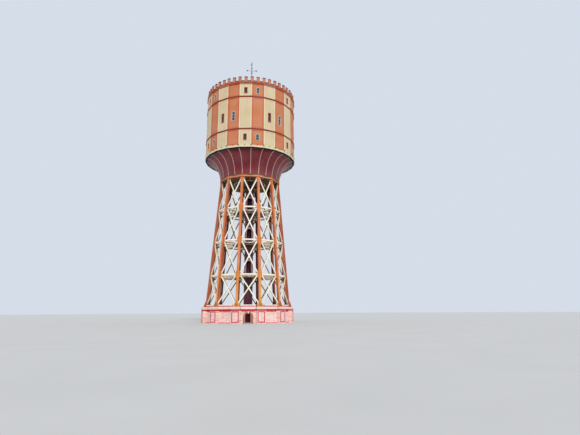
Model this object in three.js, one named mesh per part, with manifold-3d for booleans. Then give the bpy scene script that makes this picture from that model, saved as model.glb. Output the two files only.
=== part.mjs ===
// Water tower: a 24-sided tank drum on a flared skirt, carried by a lattice of twelve battered
// legs on a masonry plinth. Lengths below are millimetres of the real tower, 42 m tall, and the
// whole group is brought to 1:2 at the end. +Z is up, the origin is on the ground at the tower's
// axis, and the front faces -Y. Angles turn from the front towards +X.

import * as THREE from 'three';
import { mergeVertices } from 'three/addons/utils/BufferGeometryUtils.js';
import Module from 'manifold-3d';

const wasm = await Module();
wasm.setup();

const SCALE = 1 / 2;

// Gap between pieces that touch, on the real tower: 0.3 mm on the model
const SEAT = 0.6;

// Driving dimensions: plan
const LEG_COUNT = 12;
const DRUM_SIDES = 24;
const BAY = 360 / LEG_COUNT;
const HALF_BAY = BAY / 2;
const FACET = 360 / DRUM_SIDES;
const TANK_RADIUS = 6900;
const LEG_FOOT_RADIUS = 6000;
const LEG_HEAD_RADIUS = 4400;
const LANDING_RADIUS = 2400;
const SHAFT_RADIUS = 650;

// Driving dimensions: levels above the ground
const FOOT_LEVEL = 2150;
const RING_LEVELS = [6500, 11330, 16130];
const LEG_HEAD_LEVEL = 20700;
const SKIRT_LEVEL = 20950;
const DRUM_LEVEL = 24280;
const LOWER_MOULDING_LEVEL = 27070;
const UPPER_MOULDING_LEVEL = 32110;
const PARAPET_LEVEL = 34300;
const SILL_LEVEL = 34670;
const MERLON_LEVEL = 35300;
const ROOF_APEX_LEVEL = 36400;
const COMPASS_LEVEL = 40650;
const TIP_LEVEL = 42000;

// Plinth
const PLINTH = {
  wall: 450,
  top: 2450,
  moulding: 60,
  copingHeight: 150,
  stringTop: 2000,
  stringBottom: 1880,
  bandTop: 1850,
  bandBottom: 1640,
  bandRelief: 30,
  pierWidth: 1200,
  pierCap: 70,
  pierCapHeight: 120,
  parapetClearance: 590,
};
const DOORWAY = { width: 950, crown: 1350, surround: 170, relief: 50 };

// Legs and their gusset plates
const LEG = { width: 310, depth: 300 };
const GUSSET = { thickness: 30, reach: 360, halfHeight: 560, chamfer: 150 };
const HEAD_GUSSET = { height: 900, reach: 370 };
const FOOT = { flareHeight: 900, reach: 410, plate: 880, plateThickness: 60 };

// Bracing bars, flat on the gusset plates
const BRACING = {
  diagonal: 160,
  strut: 190,
  thickness: 60,
  endInset: 195,
  overshoot: 80,
  headClearance: 330,
  footClearance: 500,
  legClearance: 185,
};

// Ring beam, tank floor and landings
const RING_BEAM = { outer: 4620, inner: 4180, bottom: LEG_HEAD_LEVEL + SEAT };
const FLOOR = { radius: 4430, thickness: 110, beamWidth: 110, innerRing: 2400, ringWidth: 110 };
const LANDING = { plate: 60, edgeWidth: 110, edgeDepth: 220, beamWidth: 130, beamDepth: 200 };

// Central shaft and its doors
const SHAFT = { wall: 60, sides: 12, doorWidth: 720, doorHeight: 2300 };

// Skirt, drum wall, windows, parapet and roof
const SKIRT = { foot: 4520, rim: 6740, rimLevel: 24200, thickness: 70, steps: 7, rise: 1.1 };
const DRUM = {
  wall: 120,
  rimRelief: 60,
  rimHeight: 300,
  mouldingRelief: 60,
  mouldingHeight: 190,
  ledge: 110,
  ledgeLevel: 34060,
  ledgeHeight: 100,
};
const SMALL_WINDOW = { width: 440, height: 860 };
const TALL_WINDOW = { width: 440, height: 1360 };
const WINDOW_ROWS = [
  { name: 'bottom', centre: 25800, size: SMALL_WINDOW, pair: 0 },
  { name: 'middle', centre: 29135, size: TALL_WINDOW, pair: 1 },
  { name: 'top', centre: 33100, size: SMALL_WINDOW, pair: 0 },
];
const GLASS = { thickness: 24, margin: 120 };
const PARAPET = { corniceRelief: 110, corniceHeight: 130, merlonWidth: 380 };
const ROOF = { thickness: 80, eaves: 34240 };

// The drum wall's inner face, which the glass, the roof and the parapet share
const DRUM_INNER = TANK_RADIUS - DRUM.wall / Math.cos(Math.PI / DRUM_SIDES);

// Wind vane
const MAST = { radius: 50, collar: 90, collarHeight: 160, pin: 16, pinLength: 170 };
const COMPASS = { reach: 700, bar: 44, knob: 95 };
const VANE = {
  hub: 60,
  bore: 22,
  hubHeight: 330,
  arrow: 480,
  bar: 36,
  bearing: 16,
  finLength: 260,
  finHeight: 340,
  finThickness: 24,
  headLength: 200,
  headHeight: 200,
};

const radians = THREE.MathUtils.degToRad;

// Colours of the painted and bare surfaces
const paint = (color, roughness = 0.6, metalness = 0) =>
  new THREE.MeshStandardMaterial({ color, roughness, metalness });
const MATERIALS = {
  masonry: paint(0xe6d3cb, 0.85),
  legs: paint(0xe8743a, 0.5),
  bracing: paint(0xf3ead0, 0.5),
  landing: paint(0xa98f72, 0.6),
  shaft: paint(0x5a2a3c, 0.5),
  floor: paint(0x5b4a3e, 0.7),
  skirt: paint(0x6d3344, 0.45),
  drum: paint(0xd9c49a, 0.6),
  glass: paint(0x1e2a38, 0.15),
  parapet: paint(0xd7785a, 0.6),
  roof: paint(0x8c7f76, 0.7),
  iron: paint(0x3a3636, 0.5, 0.6),
};

// A point at a radius, an angle from the front and a level
function polar(radius, degrees, level) {
  const angle = radians(degrees);
  return new THREE.Vector3(radius * Math.sin(angle), -radius * Math.cos(angle), level);
}

// A closed geometry as a solid, with shared vertices merged and empty triangles dropped
function solidOf(geometry) {
  const bare = new THREE.BufferGeometry();
  bare.setAttribute('position', geometry.attributes.position);
  bare.setIndex(geometry.index);
  const merged = mergeVertices(bare, 1e-3);
  const corners = [];
  for (let i = 0; i < merged.index.count; i += 3) {
    const [a, b, c] = [0, 1, 2].map((k) => merged.index.getX(i + k));
    if (a !== b && b !== c && c !== a) {
      corners.push(a, b, c);
    }
  }
  return new wasm.Manifold(new wasm.Mesh({
    numProp: 3,
    vertProperties: Float32Array.from(merged.attributes.position.array),
    triVerts: Uint32Array.from(corners),
  }));
}

// A solid back as a geometry for a mesh
function geometryOf(solid) {
  const { vertProperties, triVerts } = solid.getMesh();
  const geometry = new THREE.BufferGeometry();
  geometry.setAttribute('position', new THREE.BufferAttribute(Float32Array.from(vertProperties), 3));
  geometry.setIndex(new THREE.BufferAttribute(Uint32Array.from(triVerts), 1));
  return geometry;
}

const union = (solids) => solids.reduce((sum, solid) => sum.add(solid));

// A solid turned about the tower's axis, from a closed outline of [radius, level] points that
// runs anticlockwise, with as many flat sides as asked and its first corner at an angle
function turned(outline, sides, firstCorner = 0) {
  const points = [...outline, outline[0]].map(([radius, level]) => new THREE.Vector2(radius, level));
  const geometry = new THREE.LatheGeometry(points, sides, radians(firstCorner));
  geometry.rotateX(Math.PI / 2);
  return solidOf(geometry);
}

// The outline of a rectangle for turned()
const rectangle = (inner, outer, bottom, top) => [
  [inner, bottom], [outer, bottom], [outer, top], [inner, top],
];

// A box on the front radius: its span along the radius and its levels, turned to an angle
function radialBlock(width, near, far, bottom, top, degrees = 0) {
  const geometry = new THREE.BoxGeometry(width, far - near, top - bottom);
  geometry.translate(0, -(near + far) / 2, (bottom + top) / 2);
  geometry.rotateZ(radians(degrees));
  return solidOf(geometry);
}

// A plate with an outline of [u, v] points, of a thickness centred on an offset
function plate(outline, thickness, offset = 0) {
  const shape = new THREE.Shape(outline.map(([u, v]) => new THREE.Vector2(u, v)));
  const geometry = new THREE.ExtrudeGeometry(shape, { depth: thickness, bevelEnabled: false });
  geometry.translate(0, 0, offset - thickness / 2);
  return geometry;
}

// A cut through the front with straight jambs and a round head, between two radii
function archCut(width, bottom, crown, near, far) {
  const radius = width / 2;
  const shape = new THREE.Shape();
  shape.moveTo(-radius, bottom);
  shape.lineTo(radius, bottom);
  shape.absarc(0, crown - radius, radius, 0, Math.PI, false);
  const geometry = new THREE.ExtrudeGeometry(shape, {
    depth: far - near, bevelEnabled: false, curveSegments: 8,
  });
  geometry.rotateX(Math.PI / 2);
  geometry.translate(0, -near, 0);
  return solidOf(geometry);
}

// The legs' axis: its radius at a level
function legRadius(level) {
  const rise = (level - FOOT_LEVEL) / (LEG_HEAD_LEVEL - FOOT_LEVEL);
  return THREE.MathUtils.lerp(LEG_FOOT_RADIUS, LEG_HEAD_RADIUS, rise);
}

// A bay's own frame: u along the bay, v up its slope from the foot level, w out of it
function bayFrame(degrees) {
  const chord = Math.cos(radians(HALF_BAY));
  const foot = polar(LEG_FOOT_RADIUS * chord, degrees, FOOT_LEVEL);
  const head = polar(LEG_HEAD_RADIUS * chord, degrees, LEG_HEAD_LEVEL);
  const along = new THREE.Vector3(Math.cos(radians(degrees)), Math.sin(radians(degrees)), 0);
  const up = head.clone().sub(foot).normalize();
  const out = along.clone().cross(up);
  return new THREE.Matrix4().makeBasis(along, up, out).setPosition(foot);
}

const FRONT_BAY = bayFrame(0);
const UP_SLOPE = FRONT_BAY.elements[6];

// A level's distance up the bay's slope, and half the bay's width there
const slopeAt = (level) => (level - FOOT_LEVEL) / UP_SLOPE;
const halfBayAt = (level) => legRadius(level) * Math.sin(radians(HALF_BAY));

// A geometry drawn in the bay's frame, as a solid in the tower's
const inBay = (geometry, frame) => solidOf(geometry.applyMatrix4(frame));

// A post with level ends between two points, square to an angle
function post(foot, head, width, depth) {
  const geometry = new THREE.BoxGeometry(width, depth, 1);
  const place = geometry.attributes.position;
  for (let i = 0; i < place.count; i += 1) {
    const axis = foot.clone().lerp(head, place.getZ(i) + 0.5);
    place.setXYZ(i, place.getX(i) + axis.x, place.getY(i) + axis.y, axis.z);
  }
  return solidOf(geometry);
}

// A leg's gusset wings on one side, in the plane of the bay beside it
function legWings(side) {
  const frame = bayFrame(side * HALF_BAY);
  const wing = (points) => {
    const outline = points.map(([reach, level]) => [
      -side * (halfBayAt(level) - reach), slopeAt(level),
    ]);
    return inBay(plate(side > 0 ? outline.reverse() : outline, GUSSET.thickness), frame);
  };
  const ringWings = RING_LEVELS.map((level) => wing([
    [0, level - GUSSET.halfHeight],
    [0, level + GUSSET.halfHeight],
    [GUSSET.reach - GUSSET.chamfer, level + GUSSET.halfHeight],
    [GUSSET.reach, level + GUSSET.halfHeight - 2 * GUSSET.chamfer],
    [GUSSET.reach, level - GUSSET.halfHeight + 2 * GUSSET.chamfer],
    [GUSSET.reach - GUSSET.chamfer, level - GUSSET.halfHeight],
  ]));
  const headWing = wing([
    [0, LEG_HEAD_LEVEL - HEAD_GUSSET.height],
    [0, LEG_HEAD_LEVEL],
    [HEAD_GUSSET.reach, LEG_HEAD_LEVEL],
    [HEAD_GUSSET.reach, LEG_HEAD_LEVEL - HEAD_GUSSET.height / 2],
    [LEG.width / 2, LEG_HEAD_LEVEL - HEAD_GUSSET.height],
  ]);
  const footWing = wing([
    [0, FOOT_LEVEL + FOOT.plateThickness / 2],
    [0, FOOT_LEVEL + FOOT.flareHeight],
    [LEG.width / 2, FOOT_LEVEL + FOOT.flareHeight],
    [FOOT.reach, FOOT_LEVEL + FOOT.flareHeight / 2],
    [FOOT.reach, FOOT_LEVEL + FOOT.plateThickness / 2],
  ]);
  return [...ringWings, headWing, footWing];
}

// One leg at the front radius: battered post, gusset wings to both sides and a foot plate
function legGeometry() {
  const foot = polar(LEG_FOOT_RADIUS, 0, FOOT_LEVEL);
  const head = polar(LEG_HEAD_RADIUS, 0, LEG_HEAD_LEVEL);
  const half = FOOT.plate / 2;
  const leg = union([
    post(foot, head, LEG.width, LEG.depth),
    radialBlock(FOOT.plate, LEG_FOOT_RADIUS - half, LEG_FOOT_RADIUS + half,
      FOOT_LEVEL, FOOT_LEVEL + FOOT.plateThickness),
    ...legWings(1),
    ...legWings(-1),
  ]);
  const between = radialBlock(4 * half, 0, LEG_FOOT_RADIUS + 2 * half, FOOT_LEVEL, LEG_HEAD_LEVEL);
  return geometryOf(leg.intersect(between));
}

// A flat bar between two [u, v] points of the bay's frame, and some way past both
function bar([u0, v0], [u1, v1], width, offset) {
  const length = Math.hypot(u1 - u0, v1 - v0) + 2 * BRACING.overshoot;
  const geometry = new THREE.BoxGeometry(length, width, BRACING.thickness);
  geometry.rotateZ(Math.atan2(v1 - v0, u1 - u0));
  geometry.translate((u0 + u1) / 2, (v0 + v1) / 2, offset);
  return solidOf(geometry);
}

// One bay's bracing: crossed diagonals in every tier and a strut at every ring, fused
function bracingGeometry() {
  const offset = GUSSET.thickness / 2 + SEAT + BRACING.thickness / 2;
  const lows = [FOOT_LEVEL + BRACING.footClearance, ...RING_LEVELS];
  const highs = [...RING_LEVELS, LEG_HEAD_LEVEL - BRACING.headClearance];
  const node = (level, side) => [side * (halfBayAt(level) - BRACING.endInset), slopeAt(level)];
  const bars = [];
  lows.forEach((low, tier) => {
    for (const side of [-1, 1]) {
      bars.push(bar(node(low, side), node(highs[tier], -side), BRACING.diagonal, offset));
    }
  });
  for (const level of RING_LEVELS) {
    const end = halfBayAt(level);
    bars.push(bar([-end, slopeAt(level)], [end, slopeAt(level)], BRACING.strut, offset));
  }
  const edge = (level, side) => [
    side * (halfBayAt(level) - BRACING.legClearance), slopeAt(level),
  ];
  const bounds = plate([
    edge(FOOT_LEVEL, -1), edge(FOOT_LEVEL, 1), edge(LEG_HEAD_LEVEL, 1), edge(LEG_HEAD_LEVEL, -1),
  ], 4 * BRACING.thickness, offset);
  const trimmed = union(bars).intersect(solidOf(bounds));
  return geometryOf(trimmed).applyMatrix4(FRONT_BAY);
}

// The half of the plan that a quarter takes: a wedge about an angle, held clear of its neighbours
function quarterWedge(degrees, bottom, top) {
  const far = 2 * TANK_RADIUS;
  const clearance = SEAT / Math.SQRT2;
  const shape = new THREE.Shape([
    new THREE.Vector2(0, -clearance),
    new THREE.Vector2(-far, -clearance - far),
    new THREE.Vector2(far, -clearance - far),
  ]);
  const geometry = new THREE.ExtrudeGeometry(shape, { depth: top - bottom, bevelEnabled: false });
  geometry.translate(0, 0, bottom);
  geometry.rotateZ(radians(degrees));
  return solidOf(geometry);
}

// The masonry ring: battered mouldings round a wall with piers under the legs, as one solid
function plinthSolid() {
  const shift = PLINTH.wall / 2 / Math.cos(radians(HALF_BAY));
  const inner = LEG_FOOT_RADIUS - shift;
  const outer = LEG_FOOT_RADIUS + shift;
  const ring = turned([
    [inner, 0],
    [outer, 0],
    [outer, PLINTH.bandBottom],
    [outer + PLINTH.bandRelief, PLINTH.bandBottom],
    [outer + PLINTH.bandRelief, PLINTH.bandTop],
    [outer, PLINTH.bandTop],
    [outer, PLINTH.stringBottom],
    [outer + PLINTH.moulding, PLINTH.stringBottom],
    [outer + PLINTH.moulding, PLINTH.stringTop],
    [outer, PLINTH.stringTop],
    [outer, PLINTH.top - PLINTH.copingHeight],
    [outer + PLINTH.moulding, PLINTH.top - PLINTH.copingHeight],
    [outer + PLINTH.moulding, PLINTH.top],
    [inner, PLINTH.top],
  ], LEG_COUNT, HALF_BAY);
  const half = PLINTH.pierWidth / 2;
  const cap = half + PLINTH.pierCap;
  const pierTop = FOOT_LEVEL - SEAT;
  let plinth = ring;
  for (let i = 0; i < LEG_COUNT; i += 1) {
    const angle = HALF_BAY + i * BAY;
    const seat = radialBlock(2 * PLINTH.parapetClearance, LEG_FOOT_RADIUS - 2 * half,
      LEG_FOOT_RADIUS + 2 * half, pierTop, PLINTH.top + half, angle);
    const pier = radialBlock(PLINTH.pierWidth, LEG_FOOT_RADIUS - half, LEG_FOOT_RADIUS + half,
      0, pierTop, angle);
    const pierCap = radialBlock(2 * cap, LEG_FOOT_RADIUS - cap, LEG_FOOT_RADIUS + cap,
      pierTop - PLINTH.pierCapHeight, pierTop, angle);
    plinth = plinth.subtract(seat).add(pier).add(pierCap);
  }
  return plinth;
}

// The plinth's quarters, the front one with a round-headed doorway and its raised surround
function plinthMeshes() {
  const chord = LEG_FOOT_RADIUS * Math.cos(radians(HALF_BAY));
  const face = chord + PLINTH.wall / 2;
  const surround = archCut(DOORWAY.width + 2 * DOORWAY.surround, 0,
    DOORWAY.crown + DOORWAY.surround, face - PLINTH.wall / 2, face + DOORWAY.relief);
  const doorway = archCut(DOORWAY.width, -PLINTH.wall, DOORWAY.crown,
    chord - PLINTH.wall, face + PLINTH.wall);
  const plinth = plinthSolid();
  return QUARTERS.map(([name, degrees]) => {
    let quarter = plinth.intersect(quarterWedge(degrees, -PLINTH.wall, PLINTH.top + PLINTH.wall));
    if (name === 'front') {
      quarter = quarter.add(surround).subtract(doorway);
    }
    return mesh(`plinth_${name}`, geometryOf(quarter), MATERIALS.masonry);
  });
}

// A round landing at a ring level, with radial beams out to the legs
function landingGeometry(level) {
  const top = level + LANDING.plate;
  const bottom = top - LANDING.edgeDepth;
  const edge = LANDING_RADIUS - LANDING.edgeWidth;
  const floor = turned([
    [SHAFT_RADIUS / 2, level],
    [edge, level],
    [edge, bottom],
    [LANDING_RADIUS, bottom],
    [LANDING_RADIUS, top],
    [SHAFT_RADIUS / 2, top],
  ], DRUM_SIDES);
  const legFace = legRadius(top) - LEG.depth / 2 - SEAT;
  const beams = [];
  for (let i = 0; i < LEG_COUNT; i += 1) {
    beams.push(radialBlock(LANDING.beamWidth, edge + LANDING.edgeWidth / 2, legFace,
      top - LANDING.beamDepth, top, HALF_BAY + i * BAY));
  }
  const shaftHole = turned(
    rectangle(0, SHAFT_RADIUS + SEAT, bottom, top + LANDING.plate), SHAFT.sides, HALF_BAY,
  );
  return geometryOf(union([floor, ...beams]).subtract(shaftHole));
}

// The central shaft's length over one storey, with an open doorway at its foot
function shaftGeometry(bottom, top) {
  const tube = turned(
    rectangle(SHAFT_RADIUS - SHAFT.wall, SHAFT_RADIUS, bottom, top), SHAFT.sides, HALF_BAY,
  );
  const door = archCut(SHAFT.doorWidth, bottom + SHAFT.wall, bottom + SHAFT.doorHeight,
    0, 2 * SHAFT_RADIUS);
  return geometryOf(tube.subtract(door));
}

// The polygonal beam that ties the legs' heads
function ringBeamGeometry() {
  return geometryOf(turned(
    rectangle(RING_BEAM.inner, RING_BEAM.outer, RING_BEAM.bottom, SKIRT_LEVEL - SEAT),
    LEG_COUNT, HALF_BAY,
  ));
}

// The tank's floor with radial beams and an inner ring under it
function floorGeometry() {
  const bottom = SKIRT_LEVEL;
  const beamFoot = LEG_HEAD_LEVEL + SEAT;
  const { radius, thickness, innerRing, ringWidth, beamWidth } = FLOOR;
  const disc = turned(rectangle(0, radius, bottom, bottom + thickness), DRUM_SIDES);
  const ring = turned(rectangle(innerRing - ringWidth, innerRing, beamFoot, bottom + thickness / 2),
    DRUM_SIDES);
  const beamEnd = RING_BEAM.inner * Math.cos(radians(HALF_BAY)) - SEAT;
  const beams = [];
  for (let i = 0; i < DRUM_SIDES; i += 1) {
    beams.push(radialBlock(beamWidth, innerRing - ringWidth / 2, beamEnd,
      beamFoot + beamWidth / 2, bottom + thickness / 2, i * FACET));
  }
  return geometryOf(union([disc, ring, ...beams]));
}

// The flared skirt: a quarter of an ellipse in section, upright at its foot and level at its rim
function skirtSolid() {
  const rise = SKIRT.rimLevel - SKIRT_LEVEL;
  const curve = (foot, rim, drop) => {
    const points = [];
    for (let i = 0; i <= SKIRT.steps; i += 1) {
      const turn = (i / SKIRT.steps) * (Math.PI / 2);
      points.push([
        foot + (rim - foot) * (1 - Math.cos(turn)),
        SKIRT_LEVEL + (rise + drop) * Math.sin(turn) ** SKIRT.rise,
      ]);
    }
    return points;
  };
  const outer = curve(SKIRT.foot, SKIRT.rim, 0);
  const inner = curve(SKIRT.foot - SKIRT.thickness, SKIRT.rim - 2 * SKIRT.thickness,
    DRUM_LEVEL - SEAT - SKIRT.rimLevel).reverse();
  const flange = [
    [TANK_RADIUS - SKIRT.thickness, SKIRT.rimLevel],
    [TANK_RADIUS - SKIRT.thickness, DRUM_LEVEL - SEAT],
  ];
  return turned([...outer, ...flange, ...inner], DRUM_SIDES);
}

// Whether a facet of the drum, counted from the front corner, has the windows of a row
const hasWindow = (facet, row) => Math.floor(((facet + 1 + DRUM_SIDES) % 4) / 2) === row.pair;

// The drum's wall with its rim, two mouldings and an inner ledge, as one ring
function drumSolid() {
  const inner = DRUM_INNER;
  const moulding = (level) => [
    [TANK_RADIUS, level - DRUM.mouldingHeight / 2],
    [TANK_RADIUS + DRUM.mouldingRelief, level - DRUM.mouldingHeight / 2],
    [TANK_RADIUS + DRUM.mouldingRelief, level + DRUM.mouldingHeight / 2],
    [TANK_RADIUS, level + DRUM.mouldingHeight / 2],
  ];
  let wall = turned([
    [inner, DRUM_LEVEL],
    [TANK_RADIUS + DRUM.rimRelief, DRUM_LEVEL],
    [TANK_RADIUS + DRUM.rimRelief, DRUM_LEVEL + DRUM.rimHeight],
    [TANK_RADIUS, DRUM_LEVEL + DRUM.rimHeight],
    ...moulding(LOWER_MOULDING_LEVEL),
    ...moulding(UPPER_MOULDING_LEVEL),
    [TANK_RADIUS, PARAPET_LEVEL - SEAT],
    [inner, PARAPET_LEVEL - SEAT],
    [inner, DRUM.ledgeLevel + DRUM.ledgeHeight],
    [inner - DRUM.ledge, DRUM.ledgeLevel + DRUM.ledgeHeight],
    [inner - DRUM.ledge, DRUM.ledgeLevel],
    [inner, DRUM.ledgeLevel],
  ], DRUM_SIDES);
  for (const row of WINDOW_ROWS) {
    for (let facet = 0; facet < DRUM_SIDES; facet += 1) {
      if (hasWindow(facet, row)) {
        wall = wall.subtract(radialBlock(row.size.width, inner - DRUM.wall, TANK_RADIUS + DRUM.wall,
          row.centre - row.size.height / 2, row.centre + row.size.height / 2,
          (facet + 0.5) * FACET));
      }
    }
  }
  return wall;
}

// A belt of glass behind one row of windows
function glassGeometry(row) {
  const outer = DRUM_INNER - SEAT;
  const half = row.size.height / 2 + GLASS.margin;
  return geometryOf(turned(
    rectangle(outer - GLASS.thickness, outer, row.centre - half, row.centre + half), DRUM_SIDES,
  ));
}

// The parapet: a cornice and a wall cut into two merlons to a facet, one of them on its corner
function parapetSolid() {
  const outer = TANK_RADIUS;
  const cornice = outer + PARAPET.corniceRelief;
  const inner = DRUM_INNER;
  let parapet = turned([
    [inner, PARAPET_LEVEL],
    [cornice, PARAPET_LEVEL],
    [cornice, PARAPET_LEVEL + PARAPET.corniceHeight],
    [outer, PARAPET_LEVEL + PARAPET.corniceHeight],
    [outer, MERLON_LEVEL],
    [inner, MERLON_LEVEL],
  ], DRUM_SIDES);
  const pitch = FACET / 2;
  const crenel = outer * radians(pitch) - PARAPET.merlonWidth;
  for (let i = 0; i < 2 * DRUM_SIDES; i += 1) {
    parapet = parapet.subtract(radialBlock(crenel, inner - DRUM.wall, outer + DRUM.wall,
      SILL_LEVEL, MERLON_LEVEL + DRUM.wall, (i + 0.5) * pitch));
  }
  return parapet;
}

// The low conical roof that lies on the drum's ledge, behind the parapet
function roofGeometry() {
  const inner = DRUM_INNER - SEAT;
  const bed = DRUM.ledgeLevel + DRUM.ledgeHeight + SEAT;
  return geometryOf(turned([
    [0, ROOF_APEX_LEVEL - ROOF.thickness],
    [inner, bed],
    [inner, ROOF.eaves + ROOF.thickness],
    [0, ROOF_APEX_LEVEL],
  ], DRUM_SIDES));
}

// The vane's mast: a pole with a collar on the roof, four compass arms and a pin at its head
function mastGeometry() {
  const sides = 10;
  const foot = ROOF_APEX_LEVEL + SEAT;
  const head = TIP_LEVEL - VANE.finHeight / 2 - VANE.hubHeight / 2;
  const pole = turned([
    [0, foot],
    [MAST.collar, foot],
    [MAST.collar, foot + MAST.collarHeight],
    [MAST.radius, foot + MAST.collarHeight],
    [MAST.radius, head],
    [MAST.pin, head],
    [MAST.pin, head + MAST.pinLength],
    [0, head + MAST.pinLength],
  ], sides);
  const arms = [0, 90].map((degrees) => radialBlock(COMPASS.bar, -COMPASS.reach, COMPASS.reach,
    COMPASS_LEVEL - COMPASS.bar / 2, COMPASS_LEVEL + COMPASS.bar / 2, degrees));
  const knobs = [0, 90, 180, 270].map((degrees) => {
    const geometry = new THREE.SphereGeometry(COMPASS.knob, 6, 4);
    geometry.translate(0, -COMPASS.reach, COMPASS_LEVEL);
    geometry.rotateZ(radians(degrees));
    return solidOf(geometry);
  });
  return geometryOf(union([pole, ...arms, ...knobs]));
}

// The vane: a hub over the mast's pin with an arrow head to one side and a fin to the other
function vaneGeometry() {
  const bottom = TIP_LEVEL - VANE.finHeight / 2 - VANE.hubHeight / 2 + SEAT;
  const centre = bottom + VANE.hubHeight / 2;
  const hub = turned([
    [0, bottom + MAST.pinLength + VANE.bore],
    [VANE.bore, bottom + MAST.pinLength + VANE.bore],
    [VANE.bore, bottom],
    [VANE.hub, bottom],
    [VANE.hub, bottom + VANE.hubHeight],
    [0, bottom + VANE.hubHeight],
  ], 10);
  const stick = (near, far) => radialBlock(VANE.bar, near, far,
    centre - VANE.bar / 2, centre + VANE.bar / 2, VANE.bearing);
  const side = (outline) => {
    const geometry = plate(outline, VANE.finThickness);
    geometry.rotateX(Math.PI / 2);
    geometry.rotateZ(radians(VANE.bearing - 90));
    geometry.translate(0, 0, centre);
    return solidOf(geometry);
  };
  const tip = VANE.arrow;
  const head = side([
    [tip - VANE.headLength, -VANE.headHeight / 2],
    [tip, 0],
    [tip - VANE.headLength, VANE.headHeight / 2],
  ]);
  const fin = side([
    [-tip, -VANE.finHeight / 2],
    [-tip + VANE.finLength, -VANE.finHeight / 4],
    [-tip + VANE.finLength, VANE.finHeight / 4],
    [-tip, VANE.finHeight / 2],
  ]);
  return geometryOf(union([
    hub,
    stick(VANE.hub / 2, tip - VANE.headLength / 2),
    stick(-tip + VANE.finLength / 2, -VANE.hub / 2),
    head,
    fin,
  ]));
}

const QUARTERS = [['front', 0], ['right', 90], ['back', 180], ['left', 270]];

// A named mesh of a material, turned about the tower's axis
function mesh(name, geometry, material, degrees = 0) {
  const piece = new THREE.Mesh(geometry, material);
  piece.name = name;
  piece.rotation.z = radians(degrees);
  return piece;
}

// A ring of the tank as four meshes, split at a shift past the diagonals
function quarterMeshes(name, ring, material, shift = 0) {
  return QUARTERS.map(([side, degrees]) => mesh(
    `${name}_${side}`,
    geometryOf(ring.intersect(quarterWedge(degrees + shift, FOOT_LEVEL, ROOF_APEX_LEVEL))),
    material,
  ));
}

const numbered = (name, index) => `${name}_${String(index + 1).padStart(2, '0')}`;

const tower = new THREE.Group();
tower.name = 'water_tower';

tower.add(...plinthMeshes());

const leg = legGeometry();
const bracing = bracingGeometry();
for (let i = 0; i < LEG_COUNT; i += 1) {
  tower.add(mesh(numbered('leg', i), leg, MATERIALS.legs, HALF_BAY + i * BAY));
  tower.add(mesh(numbered('bracing', i), bracing, MATERIALS.bracing, i * BAY));
}

RING_LEVELS.forEach((level, index) => {
  tower.add(mesh(`landing_${index + 1}`, landingGeometry(level), MATERIALS.landing));
});

const shaftEnds = [0, ...RING_LEVELS.map((level) => level + LANDING.plate), SKIRT_LEVEL];
shaftEnds.slice(1).forEach((top, index) => {
  tower.add(mesh(`shaft_${index + 1}`, shaftGeometry(shaftEnds[index], top - SEAT), MATERIALS.shaft));
});

tower.add(mesh('ring_beam', ringBeamGeometry(), MATERIALS.legs));
tower.add(mesh('tank_floor', floorGeometry(), MATERIALS.floor));
tower.add(...quarterMeshes('skirt', skirtSolid(), MATERIALS.skirt));
tower.add(...quarterMeshes('tank_wall', drumSolid(), MATERIALS.drum));
for (const row of WINDOW_ROWS) {
  tower.add(mesh(`window_glass_${row.name}`, glassGeometry(row), MATERIALS.glass));
}
tower.add(mesh('roof', roofGeometry(), MATERIALS.roof));
tower.add(...quarterMeshes('parapet', parapetSolid(), MATERIALS.parapet, FACET / 4));
tower.add(mesh('mast', mastGeometry(), MATERIALS.iron));
tower.add(mesh('vane', vaneGeometry(), MATERIALS.iron));

tower.scale.setScalar(SCALE);

export default tower;
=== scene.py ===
"""Looks of the water tower.

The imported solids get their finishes, and the rivets, ribs, frames, mouldings and panes that a
maker would add are built round them. Lengths are metres of the 1:2 model, +Z is up, and angles
turn from the front (-Y) towards +X, in degrees.
"""
import logging
from dataclasses import dataclass, field
from enum import Enum

import bmesh
import bpy
import numpy as np
from mathutils import Matrix, Vector
from numpy.typing import NDArray


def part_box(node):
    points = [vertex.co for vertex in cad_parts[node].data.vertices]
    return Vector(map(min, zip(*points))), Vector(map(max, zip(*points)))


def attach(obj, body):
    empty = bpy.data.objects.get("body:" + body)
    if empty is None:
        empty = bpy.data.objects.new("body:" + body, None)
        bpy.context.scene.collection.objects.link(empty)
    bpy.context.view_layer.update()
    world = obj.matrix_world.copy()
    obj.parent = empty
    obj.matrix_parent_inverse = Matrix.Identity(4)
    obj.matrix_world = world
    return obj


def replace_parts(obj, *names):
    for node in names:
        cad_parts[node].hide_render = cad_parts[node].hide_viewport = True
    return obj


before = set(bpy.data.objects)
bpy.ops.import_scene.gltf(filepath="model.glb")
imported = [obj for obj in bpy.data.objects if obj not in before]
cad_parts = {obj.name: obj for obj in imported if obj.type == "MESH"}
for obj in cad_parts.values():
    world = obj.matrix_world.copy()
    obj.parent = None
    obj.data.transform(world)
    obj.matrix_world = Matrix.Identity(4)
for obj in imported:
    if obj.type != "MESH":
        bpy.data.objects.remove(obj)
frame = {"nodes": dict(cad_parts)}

Array = NDArray[np.float64]
Colour = tuple[float, float, float]
Span = tuple[float, float]
Places = Array | float
Socket = bpy.types.NodeSocket
Value = Socket | float
Shade = Socket | Colour

LOG = logging.getLogger("water_tower")
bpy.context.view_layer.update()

LEG_COUNT = 12
BAY = 360 / LEG_COUNT
FACET_COUNT = 24
FACET = 360 / FACET_COUNT
SIDES = np.arange(LEG_COUNT)
FACETS = np.arange(FACET_COUNT)
LEG_ANGLES = BAY / 2 + BAY * SIDES
BAY_ANGLES = BAY * SIDES
CORNER_ANGLES = FACET * FACETS
# A shading angle below a facet's turn, which keeps the polygons' corners sharp.
CRISP = 12

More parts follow.
